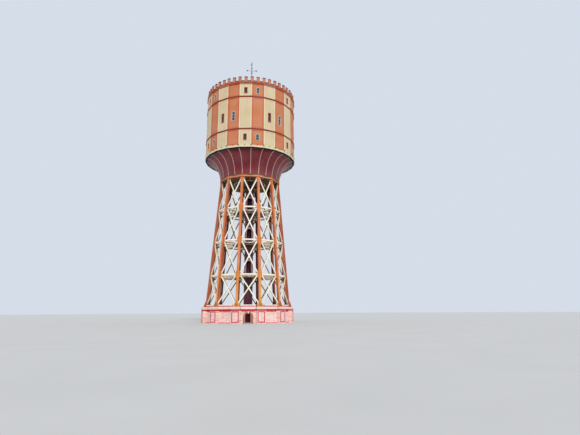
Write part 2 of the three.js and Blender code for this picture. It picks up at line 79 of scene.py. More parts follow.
FOOT_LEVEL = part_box("leg_01")[0].z
HEAD_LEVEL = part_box("leg_01")[1].z
RING_LEVELS = (3.25, 5.665, 8.065)
LEG_FOOT_RADIUS = 3.0
LEG_HEAD_RADIUS = 2.2
LEG_WIDTH = 0.155
LEG_DEPTH = 0.15

SKIRT_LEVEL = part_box("skirt_front")[0].z
DRUM_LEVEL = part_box("tank_wall_front")[0].z
PARAPET_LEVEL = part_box("parapet_front")[0].z
MERLON_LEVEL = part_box("parapet_front")[1].z
SILL_LEVEL = 17.335
RIM_RELIEF = 0.03
RIM_TOP = DRUM_LEVEL + 0.15
DRUM_RADIUS = -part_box("tank_wall_front")[0].y - RIM_RELIEF
MOULDING_LEVELS = (13.535, 16.055)
MOULDING_HEIGHT = 0.095

# How deep trim is let into the face under it, and a plate's two faces about its middle.
LET_IN = -0.004
PLATE = (-0.006, 0.006)

ACROSS = np.array([1.0, 0.0, 0.0])
UP = np.array([0.0, 0.0, 1.0])


def tint(red: int, green: int, blue: int) -> Colour:
    """Turns a screen's colour, 0 to 255 a channel, into the linear light that shaders work in.

    Args:
        red: its red.
        green: its green.
        blue: its blue.

    Returns:
        The colour: s / 12.92 below 0.04 and ((s + 0.055) / 1.055) to the 2.4 above.
    """
    share = np.array([red, green, blue]) / 255
    linear = np.where(share <= 0.04045, share / 12.92, ((share + 0.055) / 1.055) ** 2.4)
    return tuple(float(value) for value in linear)


CREAM = tint(220, 199, 158)
PALE_CREAM = tint(230, 216, 178)
ORANGE = tint(206, 124, 80)
DEEP_ORANGE = tint(208, 106, 64)
BORDER_RED = tint(150, 60, 38)
MOULDING_RED = tint(138, 50, 12)
MOULDING_ORANGE = tint(202, 100, 48)
SALMON = tint(206, 134, 96)
CORNICE_ORANGE = tint(196, 84, 50)
LEAD = tint(74, 62, 70)
LEG_ORANGE = tint(226, 132, 76)
LEG_YELLOW = tint(236, 162, 82)
# Painted shade: the legs' sides and the faces that look to the axis are darker red.
LEG_FLANK_SHADE = tint(194, 102, 66)
LEG_INSIDE_SHADE = tint(84, 32, 34)
BAR_CREAM = tint(253, 246, 222)
# Painted shade on the bars' faces that look to the axis.
BAR_INSIDE_SHADE = tint(176, 154, 98)
MAROON = tint(137, 50, 62)
RIB_BEIGE = tint(206, 174, 142)
PLUM = tint(96, 38, 58)
DOOR_PINK = tint(200, 144, 152)
BEAM_SALMON = tint(238, 144, 96)
OLIVE_BROWN = tint(110, 88, 58)
BRICK_PINK = tint(238, 166, 158)
BRICK_PALE = tint(255, 232, 220)
BAND_PINK = tint(246, 146, 154)
PILASTER_PINK = tint(220, 84, 102)
BAND_RED = tint(196, 8, 24)
WALL_WHITE = tint(255, 240, 228)
ARCH_BROWN = tint(170, 84, 60)
ARCH_OCHRE = tint(196, 146, 92)
LICHEN = tint(104, 98, 78)
# Soot for the dirt, and also painted shade deep inside the drum's wall.
SOOT_AND_SHADE = tint(48, 40, 36)
RUST = tint(120, 58, 30)


@dataclass
class Skin:
    """Points and faces gathered for one piece; a face is a row of indices into all the points."""

    points: list[Array] = field(default_factory=list)
    faces: list[Array] = field(default_factory=list)

    def add(self, points: Array, *faces: Array) -> "Skin":
        """Takes in more points and the faces between them.

        Args:
            points: an array whose last axis is x, y, z.
            faces: arrays of indices into these points.

        Returns:
            This skin.
        """
        start = sum(len(batch) for batch in self.points)
        self.points.append(np.asarray(points, float).reshape(-1, 3))
        self.faces.extend(np.asarray(batch, int) + start for batch in faces)
        return self

    def take(self, *others: "Skin") -> "Skin":
        """Takes in other skins whole.

        Args:
            others: the skins.

        Returns:
            This skin.
        """
        for other in others:
            self.add(np.concatenate(other.points), *other.faces)
        return self

    def around(self, degrees: Places) -> "Skin":
        """Copies the skin about the tower's axis: the points times the matrix of a turn about +Z.

        Args:
            degrees: one angle for each copy.

        Returns:
            A new skin that holds all the copies.
        """
        points = np.concatenate(self.points)
        turn = np.radians(np.atleast_1d(degrees))
        cosine, sine = np.cos(turn)[:, None], np.sin(turn)[:, None]
        copies = np.stack([
            cosine * points[:, 0] - sine * points[:, 1],
            sine * points[:, 0] + cosine * points[:, 1],
            np.broadcast_to(points[:, 2], (len(turn), len(points))),
        ], axis=-1)
        step = len(points) * np.arange(len(turn))[:, None, None]
        faces = [(batch + step).reshape(-1, batch.shape[1]) for batch in self.faces]
        return Skin().add(copies, *faces)

    def with_mirror(self) -> "Skin":
        """The skin together with its mirror image, x for -x."""
        mirrored = np.concatenate(self.points) * np.array([-1.0, 1.0, 1.0])
        return Skin().take(self, Skin([mirrored], list(self.faces)))

    def mesh(self, name: str, smooth: float, weld: bool) -> bpy.types.Mesh:
        """Makes a mesh with outward normals.

        Args:
            name: the mesh's name.
            smooth: the angle under which neighbouring faces are shaded as one.
            weld: whether points that coincide, as at a pole, are merged first.

        Returns:
            The new mesh.
        """
        points = np.concatenate(self.points)
        corners = np.concatenate([batch.ravel() for batch in self.faces])
        sizes = np.concatenate([np.full(len(batch), batch.shape[1]) for batch in self.faces])
        made = bpy.data.meshes.new(name)
        for rows, key, values in (
            (made.vertices, "co", points.astype(np.float32)),
            (made.loops, "vertex_index", corners.astype(np.int32)),
            (made.polygons, "loop_start", (np.cumsum(sizes) - sizes).astype(np.int32)),
        ):
            rows.add(len(values))
            rows.foreach_set(key, values.ravel())
        made.update(calc_edges=True)
        made.validate()
        shell = bmesh.new()
        shell.from_mesh(made)
        if weld:
            bmesh.ops.remove_doubles(shell, verts=shell.verts, dist=1e-5)
        bmesh.ops.recalc_face_normals(shell, faces=shell.faces)
        shell.to_mesh(made)
        shell.free()
        made.shade_smooth()
        made.set_sharp_from_angle(angle=np.radians(smooth))
        return made

    def build(self, name: str, material: bpy.types.Material, slot: str, body: str = "tower",
              smooth: float = 30, weld: bool = False) -> bpy.types.Object:
        """Makes the piece, gives it its finish and lets it ride on its body.

        Args:
            name: the piece's name.
            material: its finish.
            slot: not used.
            body: the body that it moves with.
            smooth: the shading angle, as mesh takes it.
            weld: whether points that coincide are merged.

        Returns:
            The new object.
        """
        piece = bpy.data.objects.new(name, self.mesh(name, smooth, weld))
        piece.data.materials.append(material)
        bpy.context.scene.collection.objects.link(piece)
        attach(piece, body)
        LOG.info("%s: %d faces", name, len(piece.data.polygons))
        return piece


def polar(radius: Places, degrees: Places, level: Places) -> Array:
    """Points at a radius, an angle from the front and a level: x = r sin a, y = -r cos a."""
    angle = np.radians(degrees)
    return np.stack(np.broadcast_arrays(radius * np.sin(angle), -radius * np.cos(angle), level), axis=-1)


def normalised(vectors: Array) -> Array:
    """The vectors at length one."""
    return vectors / np.linalg.norm(vectors, axis=-1, keepdims=True)


def wrap_faces(rows: int, columns: int, closed: bool = False) -> Array:
    """The four-sided faces of a grid of points whose last column joins its first.

    The face at (i, j) joins the points (i, j), (i+1, j), (i+1, j+1) and (i, j+1).

    Args:
        rows: how many points the grid has the first way.
        columns: how many it has the second way.
        closed: whether the last row joins the first too.

    Returns:
        Indices into the grid's points, one row for each face.
    """
    i, j = np.meshgrid(np.arange(rows if closed else rows - 1), np.arange(columns), indexing="ij")
    after_i, after_j = (i + 1) % rows, (j + 1) % columns
    corners = [i * columns + j, after_i * columns + j, after_i * columns + after_j, i * columns + after_j]
    return np.stack(corners, axis=-1).reshape(-1, 4)


def turned(outline: list[Span] | Array, sides: int, first_corner: float = 0.0) -> Skin:
    """A ring about the tower's axis: a closed outline carried round a regular polygon.

    Args:
        outline: the section's [corner radius, level] points.
        sides: how many sides the polygon has.
        first_corner: the angle of its first corner.

    Returns:
        The ring's skin.
    """
    section = np.array(outline, float)
    angles = first_corner + 360 / sides * np.arange(sides)
    points = polar(section[None, :, 0], angles[:, None], section[None, :, 1])
    return Skin().add(points, wrap_faces(sides, len(section), True))


def hoop(radii: Span, levels: Span, sides: int = FACET_COUNT, first_corner: float = 0.0) -> Skin:
    """A ring of rectangular section, between two corner radii and two levels."""
    (inner, outer), (low, high) = radii, levels
    return turned([(inner, low), (outer, low), (outer, high), (inner, high)], sides, first_corner)


def swept(sections: Array) -> Skin:
    """A closed section carried along a path, with both ends closed.

    Args:
        sections: one closed section of points for each step of the path, as (step, point, xyz).

    Returns:
        The skin of quads between the steps and a face at each end.
    """
    steps, count = sections.shape[:2]
    ends = np.stack([np.arange(count), np.arange(count) + (steps - 1) * count])
    return Skin().add(sections, wrap_faces(steps, count), ends)


CUBE = np.array([[x, y, z] for z in (-1, 1) for y in (-1, 1) for x in (-1, 1)], float)
CUBE_FACES = np.array([[0, 2, 3, 1], [4, 5, 7, 6], [0, 1, 5, 4], [2, 6, 7, 3], [0, 4, 6, 2], [1, 3, 7, 5]])


def boxes(centres: Array, axes: Array, halves: Array) -> Skin:
    """Boxes of their own places, directions and sizes.

    A corner is the centre plus, for each of the three axes, plus or minus the half size along it.

    Args:
        centres: one point for each box.
        axes: three unit vectors as rows, for each box or for all.
        halves: the half sizes along them, for each box or for all.

    Returns:
        The boxes' skin.
    """
    centres = np.atleast_2d(centres)
    count = len(centres)
    axes = np.broadcast_to(axes, (count, 3, 3))
    halves = np.broadcast_to(halves, (count, 3))
    points = centres[:, None] + np.einsum("vj,kj,kjc->kvc", CUBE, halves, axes)
    faces = (CUBE_FACES[None] + 8 * np.arange(count)[:, None, None]).reshape(-1, 4)
    return Skin().add(points, faces)


def bars(starts: Array, ends: Array, out: Array, width: float, depth: float) -> Skin:
    """Straight bars of rectangular section between points.

    Args:
        starts: where each bar starts.
        ends: where each ends.
        out: the way that a bar's depth lies, as far as its own run allows.
        width: the section's size across that.
        depth: its size along it.

    Returns:
        The bars' skin.
    """
    starts, ends = np.atleast_2d(starts), np.atleast_2d(ends)
    along = normalised(ends - starts)
    across = normalised(np.cross(np.broadcast_to(out, along.shape), along))
    depths = np.cross(along, across)
    length = np.linalg.norm(ends - starts, axis=1) / 2
    halves = np.stack([length, np.full_like(length, width / 2), np.full_like(length, depth / 2)], axis=1)
    return boxes((starts + ends) / 2, np.stack([along, across, depths], axis=1), halves)


def rivets(centres: Array, normals: Array, radius: float, sides: int = 6) -> Skin:
    """Button heads: a ring sunk 0.15 r into the surface, a ring of 0.55 r raised 0.62 r over it.

    Args:
        centres: where the heads sit.
        normals: the surface's normal at each, or one for all.
        radius: a head's radius, r.
        sides: how many sides a head has.

    Returns:
        The heads' skin.
    """
    centres = np.asarray(centres, float).reshape(-1, 3)
    out = normalised(np.broadcast_to(normals, centres.shape).astype(float))
    steep = np.abs(out[:, 2:3]) > 0.9
    across = normalised(np.cross(out, np.where(steep, ACROSS, UP)))
    upward = np.cross(out, across)
    turn = 2 * np.pi * np.arange(sides) / sides
    ring = (np.cos(turn)[None, :, None] * across[:, None] + np.sin(turn)[None, :, None] * upward[:, None])
    foot = centres[:, None] + radius * (ring - 0.15 * out[:, None])
    head = centres[:, None] + radius * (0.55 * ring + 0.62 * out[:, None])
    step = (2 * sides * np.arange(len(centres)))[:, None]
    flanks = (wrap_faces(2, sides)[None] + step[:, :, None]).reshape(-1, 4)
    caps = np.concatenate([np.arange(sides)[None] + step, np.arange(sides)[None] + sides + step])
    return Skin().add(np.stack([foot, head], axis=1), flanks, caps)


def slab(outline: Array, origin: Array, along: Array, up: Array, thick: Span) -> Skin:
    """A flat plate: an outline carried along the normal of its plane.

    Args:
        outline: its points, as steps along and up from the origin.
        origin: where the plane's origin lies.
        along: the plane's first direction.
        up: its second direction.
        thick: where the plate starts and ends along the normal, along x up.

    Returns:
        The plate's skin.
    """
    flat = origin + outline[:, :1] * along + outline[:, 1:] * up
    out = np.cross(along, up)
    return swept(np.stack([flat + thick[0] * out, flat + thick[1] * out]))


def corner_wrap(radii: Array, levels: Array, shape: list[Span], sides: int = FACET_COUNT,
                rise: Places = 0.0, fall: Places = 1.0) -> Array:
    """Sections that bend round a polygon's front corner.

    A shape point [s, h] lies s along the facet from the corner, to the right for s above 0, and h
    off its face. On the corner itself, h is lengthened by the mitre, 1 / cos of half the turn.

    Args:
        radii: the corner's radius at each step.
        levels: its level at each step.
        shape: the section's points, in order.
        sides: how many sides the polygon has.
        rise: the upward share of the face's normal at each step.
        fall: its outward share.

    Returns:
        The sections' points, as (step, point, xyz).
    """
    half = np.pi / sides
    along, off = np.array(shape, float).T
    on_corner = np.abs(along) < 1e-9
    radii, levels, rise, fall = np.broadcast_arrays(radii, levels, rise, fall)
    outward = off[None] * fall[:, None]
    x = np.sign(along) * (np.abs(along) * np.cos(half) + outward * np.sin(half))
    y = np.abs(along) * np.sin(half) - outward * np.cos(half)
    y = np.where(on_corner, -outward / np.cos(half), y) - radii[:, None]
    z = levels[:, None] + off[None] * rise[:, None]
    return np.stack([np.where(on_corner, 0.0, x), y, z], axis=-1)


class Facets:
    """The flat sides of a polygonal drum, with places and boxes drawn on them."""

    def __init__(self, radius: float, count: int = FACET_COUNT, first: float = FACET / 2) -> None:
        """Works out the sides' distance from the axis and their half length.

        Args:
            radius: the corners' radius.
            count: how many sides there are.
            first: the bearing of the first side's middle.
        """
        self.step = 360 / count
        self.first = first
        self.apothem = radius * np.cos(np.pi / count)
        self.half = radius * np.sin(np.pi / count)

    def axes(self, index: Array) -> Array:
        """The unit vectors along, out and up of facets.

        Args:
            index: the facets' numbers.

        Returns:
            The vectors, as (facet, vector, xyz).
        """
        angle = np.radians(self.first + self.step * np.asarray(index, float))
        zero = np.zeros_like(angle)
        along = np.stack([np.cos(angle), np.sin(angle), zero], axis=-1)
        out = np.stack([np.sin(angle), -np.cos(angle), zero], axis=-1)
        return np.stack([along, out, np.broadcast_to(UP, out.shape)], axis=-2)

    def place(self, index: Array, along: Places, out: Places, level: Places) -> Array:
        """Points on facets: the facet's middle moved along it, off it and up.

        Args:
            index: the facets' numbers.
            along: how far along the facet from its middle.
            out: how far off its face.
            level: the height.

        Returns:
            The points.
        """
        index, along, out, level = np.broadcast_arrays(index, along, out, level)
        steps = np.stack([along, self.apothem + out, level], axis=-1)
        return np.einsum("...i,...ij->...j", steps, self.axes(index))

    def blocks(self, index: Array, along: Span, out: Span, level: Span) -> Skin:
        """One box on each facet.

        Args:
            index: the facets' numbers.
            along: where the box starts and ends along the facet.
            out: how far off its face it starts and ends.
            level: its bottom and top.

        Returns:
            The boxes' skin.
        """
        spans = np.array([along, out, level], float)
        middle, half = spans.mean(axis=1), (spans[:, 1] - spans[:, 0]) / 2
        return boxes(self.place(np.asarray(index), *middle), self.axes(index), half)

    def border(self, index: Array, along: Span, level: Span, width: float, out: Span) -> Skin:
        """A border of four boxes, inside a rectangle on each facet.

        Args:
            index: the facets' numbers.
            along: the rectangle's ends along the facet.
            level: its bottom and top.
            width: the border's width.
            out: how far off the face it starts and ends.

        Returns:
            The borders' skin.
        """
        (left, right), (low, high) = along, level
        return Skin().take(
            self.blocks(index, (left, left + width), out, level),
            self.blocks(index, (right - width, right), out, level),
            self.blocks(index, (left + width, right - width), out, (low, low + width)),
            self.blocks(index, (left + width, right - width), out, (high - width, high)),
        )

    def rivet_rows(self, index: Array, along: Array, out: float, levels: Array, radius: float) -> Skin:
        """Level rows of rivets on facets: a head at every place along, at every level."""
        number, place, level = (grid.ravel() for grid in np.meshgrid(index, along, levels))
        return rivets(self.place(number, place, out, level), self.axes(number)[:, 1], radius)


DRUM_WALLS = Facets(DRUM_RADIUS)


class Canvas:
    """A material's node tree, with short calls for the nodes that the finishes use."""

    def __init__(self, name: str) -> None:
        """Starts a material with a Principled shader, and reads Object coordinates and the normal.

        Args:
            name: the material's name.
        """
        self.material = bpy.data.materials.new(name)
        self.material.use_nodes = True
        self.tree = self.material.node_tree
        self.shader = self.tree.nodes["Principled BSDF"]
        self.place = self.node("TexCoord", {}).outputs["Object"]
        self.x, self.y, self.z = self.parts(self.place)
        normal = self.node("NewGeometry", {}).outputs["Normal"]
        self.facing_x, self.facing_y, self.facing_z = self.parts(normal)

    def node(self, kind: str, feeds: dict[str | int, Value | Colour]) -> bpy.types.Node:
        """Adds a node.

        Args:
            kind: its type, without the ShaderNode that Blender puts before it.
            feeds: what its inputs get, by their names or numbers.

        Returns:
            The node.
        """
        made = self.tree.nodes.new(f"ShaderNode{kind}")
        for key, value in feeds.items():
            self.feed(made.inputs[key], value)
        return made

    def parts(self, vector: Socket) -> list[Socket]:
        """The x, y and z of a vector."""
        return list(self.node("SeparateXYZ", {0: vector}).outputs)

    def feed(self, socket: Socket, value: Value | Colour) -> None:
        """Links a socket, or sets it where the value is a number, a vector or a colour.

        Args:
            socket: the input.
            value: what it gets.
        """
        if isinstance(value, bpy.types.NodeSocket):
            self.tree.links.new(value, socket)
        elif isinstance(value, tuple):
            socket.default_value = (*value, 1.0)[:len(socket.default_value)]
        else:
            socket.default_value = value

    def math(self, operation: str, first: Value, second: Value = 0.0) -> Socket:
        """One arithmetic step.

        Args:
            operation: its name in the node.
            first: the first value.
            second: the second value, where the operation has one.

        Returns:
            The result.
        """
        node = self.node("Math", {0: first, 1: second})
        node.operation = operation
        return node.outputs[0]

    def times(self, first: Value, second: Value) -> Socket:
        """The product of two values."""
        return self.math("MULTIPLY", first, second)

    def total(self, first: tuple[Value, Value], second: tuple[Value, Value]) -> Socket:
        """The sum of two products, each of a pair."""
        return self.math("ADD", self.times(*first), self.times(*second))

    def bearing(self) -> Socket:
        """The angle from the front in radians, from -pi to pi."""
        return self.math("ARCTAN2", self.x, self.times(self.y, -1.0))

    def step(self, value: Socket, low: float, high: float) -> Socket:
        """A smooth step.

        Args:
            value: what is compared.
            low: where the step is still 0.
            high: where it has come to 1, above or below low.

        Returns:
            The step, from 0 to 1.
        """
        rising = float(low < high)
        feeds = {"Value": value, "From Min": min(low, high), "From Max": max(low, high),
                 "To Min": 1.0 - rising, "To Max": rising}
        node = self.node("MapRange", feeds)
        node.interpolation_type = "SMOOTHSTEP"
        return node.outputs["Result"]

    def band(self, value: Socket, low: float, high: float, soft: float = 0.002) -> Socket:
        """1 between low and high and 0 outside, with soft edges."""
        rise, fall = self.step(value, low - soft, low + soft), self.step(value, high + soft, high - soft)
        return self.times(rise, fall)

    def noise(self, scale: float, detail: float = 4, stretch: Colour = (1, 1, 1),
              distortion: float = 0.0) -> Socket:
        """Noise on Object coordinates.

        Args:
            scale: how fine it is.
            detail: how many finer layers it has.
            stretch: what the coordinates are multiplied by first.
            distortion: how far it is swirled.

        Returns:
            The noise, about 0.5.
        """
        place = self.node("Mapping", {"Vector": self.place, "Scale": stretch}).outputs[0]
        feeds = {"Vector": place, "Scale": scale, "Detail": detail, "Distortion": distortion}
        return self.node("TexNoise", feeds).outputs[0]

    def blend(self, amount: Value, first: Shade, second: Shade) -> Socket:
        """A colour between two.

        Args:
            amount: 0 for the first, 1 for the second.
            first: a colour.
            second: another.

        Returns:
            The mix.
        """
        node = self.node("Mix", {0: amount})
        node.data_type = "RGBA"
        self.feed(node.inputs[6], first)
        self.feed(node.inputs[7], second)
        return node.outputs[2]

    def shifted(self, colour: Shade, saturation: Socket, value: Socket) -> Socket:
        """A colour made duller or stronger, darker or lighter; it keeps its own at 1."""
        feeds = {"Saturation": saturation, "Value": value, "Color": colour}
        return self.node("HueSaturation", feeds).outputs[0]

    def facing_in(self, low: float = 0.5, high: float = -1.2) -> Socket:
        """How far the surface faces the tower's axis: a step on x nx + y ny, 0 at low, 1 at high."""
        # The sum is the radius on a face that looks straight out, and below 0 on one that looks in.
        return self.step(self.total((self.x, self.facing_x), (self.y, self.facing_y)), low, high)

    def relief(self, height: Socket, distance: float, below: Socket | None = None) -> Socket:
        """A bump, on another bump if there is one.

        Args:
            height: from 0 to 1.
            distance: the bump's depth in metres at height 1.
            below: the normal that it lies on.

        Returns:
            The bumped normal.
        """
        feeds = {"Distance": distance, "Height": height}
        if below is not None:
            feeds["Normal"] = below
        return self.node("Bump", feeds).outputs[0]

    def finish(self, colour: Socket, roughness: Value, normal: Socket) -> bpy.types.Material:
        """Joins the surface to the shader.

        Args:
            colour: its base colour.
            roughness: its roughness.
            normal: its bumped normal.

        Returns:
            The material.
        """
        for name, value in (("Base Color", colour), ("Roughness", roughness), ("Normal", normal)):
            self.feed(self.shader.inputs[name], value)
        return self.material


@dataclass(frozen=True)
class Weather:
    """How far a finish has aged: uneven fading, rain streaks, grime on what faces up."""

    fade: float = 0.4
    streaks: float = 0.25
    grime: float = 0.5
    grime_colour: Colour = SOOT_AND_SHADE
    streak_colour: Colour = SOOT_AND_SHADE
    streak_scale: float = 7.0

    def on(self, canvas: Canvas, colour: Shade) -> Socket:
        """Ages a colour.

        Args:
            canvas: the material's nodes.
            colour: the fresh colour.

        Returns:
            The aged colour.
        """
        patches = canvas.noise(0.9, 8, distortion=0.6)
        dulling = canvas.math("SUBTRACT", 1.0 + 0.5 * self.fade, canvas.times(patches, self.fade))
        lightness = canvas.math("ADD", 1.0 - 0.4 * self.fade, canvas.times(patches, 0.8 * self.fade))
        aged = canvas.shifted(colour, dulling, lightness)
        runs = canvas.step(canvas.noise(self.streak_scale, 5, (1, 1, 0.06)), 0.5, 0.78)
        aged = canvas.blend(canvas.times(runs, self.streaks), aged, self.streak_colour)
        specks = canvas.step(canvas.noise(14, 6), 0.35, 0.6)
        on_top = canvas.times(canvas.step(canvas.facing_z, 0.5, 0.95), canvas.times(specks, self.grime))
        return canvas.blend(on_top, aged, self.grime_colour)


@dataclass(frozen=True)
class Paint:
    """Oil paint on steel or render: brush grain and slight waves, aged by its weather.

    The colour may change on what faces down (under), sideways (flank) or to the axis (inside),
    which are painted shade, and between levels: each band is (bottom, top, colour).
    """

    name: str
    colour: Colour
    weather: Weather = Weather()
    roughness: float = 0.5
    grain: float = 0.0006
    waves: float = 0.004
    chips: float = 0.0
    specular: float = 0.5
    under: Colour | None = None
    flank: Colour | None = None
    inside: Colour | None = None
    bands: tuple[tuple[float, float, Colour], ...] = ()
    band_softness: float = 0.002

    def tone(self, canvas: Canvas) -> Shade:
        """The fresh colour, before the bands and the weather."""
        return self.colour

    def relief(self, canvas: Canvas) -> tuple[Socket, Socket]:
        """The surface's bumps and how they vary its roughness.

        Args:
            canvas: the material's nodes.

        Returns:
            The normal and the roughness.
        """
        fine = canvas.noise(90, 6)
        normal = canvas.relief(fine, self.grain, canvas.relief(canvas.noise(2.2, 2), self.waves))
        rough = canvas.math("ADD", canvas.times(fine, 0.22), self.roughness - 0.11)
        return normal, rough

    def material(self) -> bpy.types.Material:
        """Makes the material.

        Returns:
            The material, with each change of colour laid over the ones before it.
        """
        canvas = Canvas(self.name)
        colour = self.tone(canvas)
        for bottom, top, shade in self.bands:
            colour = canvas.blend(canvas.band(canvas.z, bottom, top, self.band_softness), colour, shade)
        # Painted shade: faces that look down, sideways or to the axis get darker colours.
        if self.under is not None:
            colour = canvas.blend(canvas.step(canvas.facing_z, -0.5, -0.9), colour, self.under)
        if self.flank is not None:
            colour = canvas.blend(canvas.facing_in(1.6, 0.8), colour, self.flank)
        if self.inside is not None:
            colour = canvas.blend(canvas.facing_in(), colour, self.inside)
        colour = self.weather.on(canvas, colour)
        if self.chips > 0:
            bare = canvas.step(canvas.noise(26, 8, distortion=1.2), 0.7 - 0.06 * self.chips, 0.72)
            colour = canvas.blend(canvas.times(bare, 0.8), colour, RUST)
        normal, rough = self.relief(canvas)
        canvas.shader.inputs["Specular IOR Level"].default_value = self.specular
        return canvas.finish(colour, rough, normal)


@dataclass(frozen=True)
class PanelPaint(Paint):
    """The drum's wall: orange and cream panels by turns, each in a frame of its own tone."""

    frame: float = 0.095
    line: float = 0.014

    def tone(self, canvas: Canvas) -> Socket:
        """The panels' colours: a facet's number is the bearing divided by its angle.

        A frame is where the nearest corner, moulding or rim is closer than the frame's width, and
        a thin line of another tone runs along its inner edge. Deep inside the wall's face, the colour
        turns near black, painted shade.

        Args:
            canvas: the material's nodes.

        Returns:
            The colour.
        """
        turns = canvas.math("DIVIDE", canvas.bearing(), np.radians(FACET))
        cream = canvas.math("FLOORED_MODULO", canvas.math("FLOOR", turns), 2.0)
        within = canvas.math("FRACT", turns)
        to_edge = canvas.math("MINIMUM", within, canvas.math("SUBTRACT", 1.0, within))
        to_edge = canvas.times(to_edge, DRUM_RADIUS * np.radians(FACET))
        for level in (RIM_TOP, *MOULDING_LEVELS, PARAPET_LEVEL):
            half = MOULDING_HEIGHT / 2 if level in MOULDING_LEVELS else 0.0
            away = canvas.math("ABSOLUTE", canvas.math("SUBTRACT", canvas.z, level))
            to_edge = canvas.math("MINIMUM", to_edge, canvas.math("SUBTRACT", away, half))
        framed = canvas.step(to_edge, self.frame + 0.002, self.frame - 0.002)
        line = canvas.band(to_edge, self.frame - 0.001, self.frame + self.line, 0.003)
        orange = canvas.blend(framed, ORANGE, DEEP_ORANGE)
        orange = canvas.blend(canvas.times(line, 0.7), orange, BORDER_RED)
        pale = canvas.blend(framed, CREAM, PALE_CREAM)
        pale = canvas.blend(canvas.times(line, 0.6), pale, tint(150, 126, 92))
        panel = canvas.blend(cream, orange, pale)
        panel = canvas.blend(canvas.step(canvas.z, RIM_TOP + 0.002, RIM_TOP - 0.002), panel, PALE_CREAM)
        # Painted shade: faces 7 to 10 cm in from the corners' radius and deeper blend to near black.
        radius = canvas.math("SQRT", canvas.total((canvas.x, canvas.x), (canvas.y, canvas.y)))
        return canvas.blend(canvas.step(radius, DRUM_RADIUS - 0.07, DRUM_RADIUS - 0.1), panel, SOOT_AND_SHADE)


@dataclass(frozen=True)
class BrickPaint(Paint):
    """Painted brickwork: bricks of two tones in pale joints, wrapped round the tower."""

    other: Colour = BRICK_PALE
    joint: Colour = WALL_WHITE
    length: float = 0.15
    course: float = 0.05
    gap: float = 0.006

    def bricks(self, canvas: Canvas) -> bpy.types.Node:
        """The pattern, drawn on the way round (bearing x radius) and the level.

        Args:
            canvas: the material's nodes.

        Returns:
            The brick node.
        """
        way = canvas.times(canvas.bearing(), LEG_FOOT_RADIUS)
        return canvas.node("TexBrick", {
            "Vector": canvas.node("CombineXYZ", {0: way, 1: canvas.z}).outputs[0],
            "Color1": self.colour, "Color2": self.other, "Mortar": self.joint, "Scale": 1.0,
            "Mortar Size": self.gap, "Mortar Smooth": 0.3, "Brick Width": self.length,
            "Row Height": self.course,
        })

    def tone(self, canvas: Canvas) -> Socket:
        """The bricks' colours."""
        return self.bricks(canvas).outputs["Color"]

    def relief(self, canvas: Canvas) -> tuple[Socket, Socket]:
        """Joints 3 mm deep, together with the paint's own bumps.

        Args:
            canvas: the material's nodes.

        Returns:
            The normal and the roughness.
        """
        normal, rough = super().relief(canvas)
        raised = canvas.math("SUBTRACT", 1.0, self.bricks(canvas).outputs["Fac"])
        return canvas.relief(raised, 0.003, normal), rough


@dataclass(frozen=True)
class Glass:
    """Dark window glass, with its tone varying from pane to pane."""

    name: str
    dark: Colour = tint(20, 26, 40)
    light: Colour = tint(64, 92, 102)

    def material(self) -> bpy.types.Material:
        """Makes the material: large noise picks the pane's tone, fine noise its dust.

        Returns:
            The material.
        """
        canvas = Canvas(self.name)
        colour = canvas.blend(canvas.step(canvas.noise(3.1, 1), 0.5, 0.64), self.dark, self.light)
        dust = canvas.step(canvas.noise(30, 6), 0.45, 0.7)
        colour = canvas.blend(canvas.times(dust, 0.15), colour, tint(150, 145, 130))
        rough = canvas.math("ADD", canvas.times(dust, 0.25), 0.06)
        canvas.shader.inputs["Specular IOR Level"].default_value = 0.7
        return canvas.finish(colour, rough, canvas.relief(canvas.noise(5, 1), 0.004))


@dataclass(frozen=True)
class Iron:
    """Wrought iron with old dark paint and rust in the pits."""

    name: str

    def material(self) -> bpy.types.Material:
        """Makes the material.

        Returns:
            The material.
        """
        canvas = Canvas(self.name)
        pits = canvas.step(canvas.noise(22, 8), 0.5, 0.66)
        colour = canvas.blend(canvas.times(pits, 0.4), tint(24, 22, 30), RUST)
        rough = canvas.math("ADD", canvas.times(pits, 0.2), 0.6)
        canvas.shader.inputs["Metallic"].default_value = 0.2
        canvas.shader.inputs["Specular IOR Level"].default_value = 0.3
        return canvas.finish(colour, rough, canvas.relief(canvas.noise(70, 6), 0.001))


class Quarter(Enum):
    """The four quarters that the plinth and the tank's rings are split into."""

    FRONT = "front"
    RIGHT = "right"
    BACK = "back"
    LEFT = "left"


def dress(nodes: list[str], material: bpy.types.Material) -> None:
    """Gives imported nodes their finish.

    Args:
        nodes: their names.
        material: the finish.
    """
    for name in nodes:
        slots = frame["nodes"][name].data.materials
        slots.clear()
        slots.append(material)
    LOG.info("dressed %s", ", ".join(nodes))


def painted(name: str, skin: Skin, colour: Colour, slot: str, weather: Weather, smooth: float = 30,
            **finish: float) -> None:
    """Builds a piece with a paint of its own; finish holds more of the paint's fields."""
    paint = Paint(f"{name}_paint", colour, weather, **finish)
    skin.build(name, paint.material(), slot, smooth=smooth)


def quarters(name: str) -> list[str]:
    """The names of a ring's four quarters."""
    return [f"{name}_{quarter.value}" for quarter in Quarter]


def leg_radius(level: Places) -> Places:
    """The legs' axis: its radius falls in a straight line from foot to head."""
    share = (level - FOOT_LEVEL) / (HEAD_LEVEL - FOOT_LEVEL)
    return LEG_FOOT_RADIUS + (LEG_HEAD_RADIUS - LEG_FOOT_RADIUS) * share


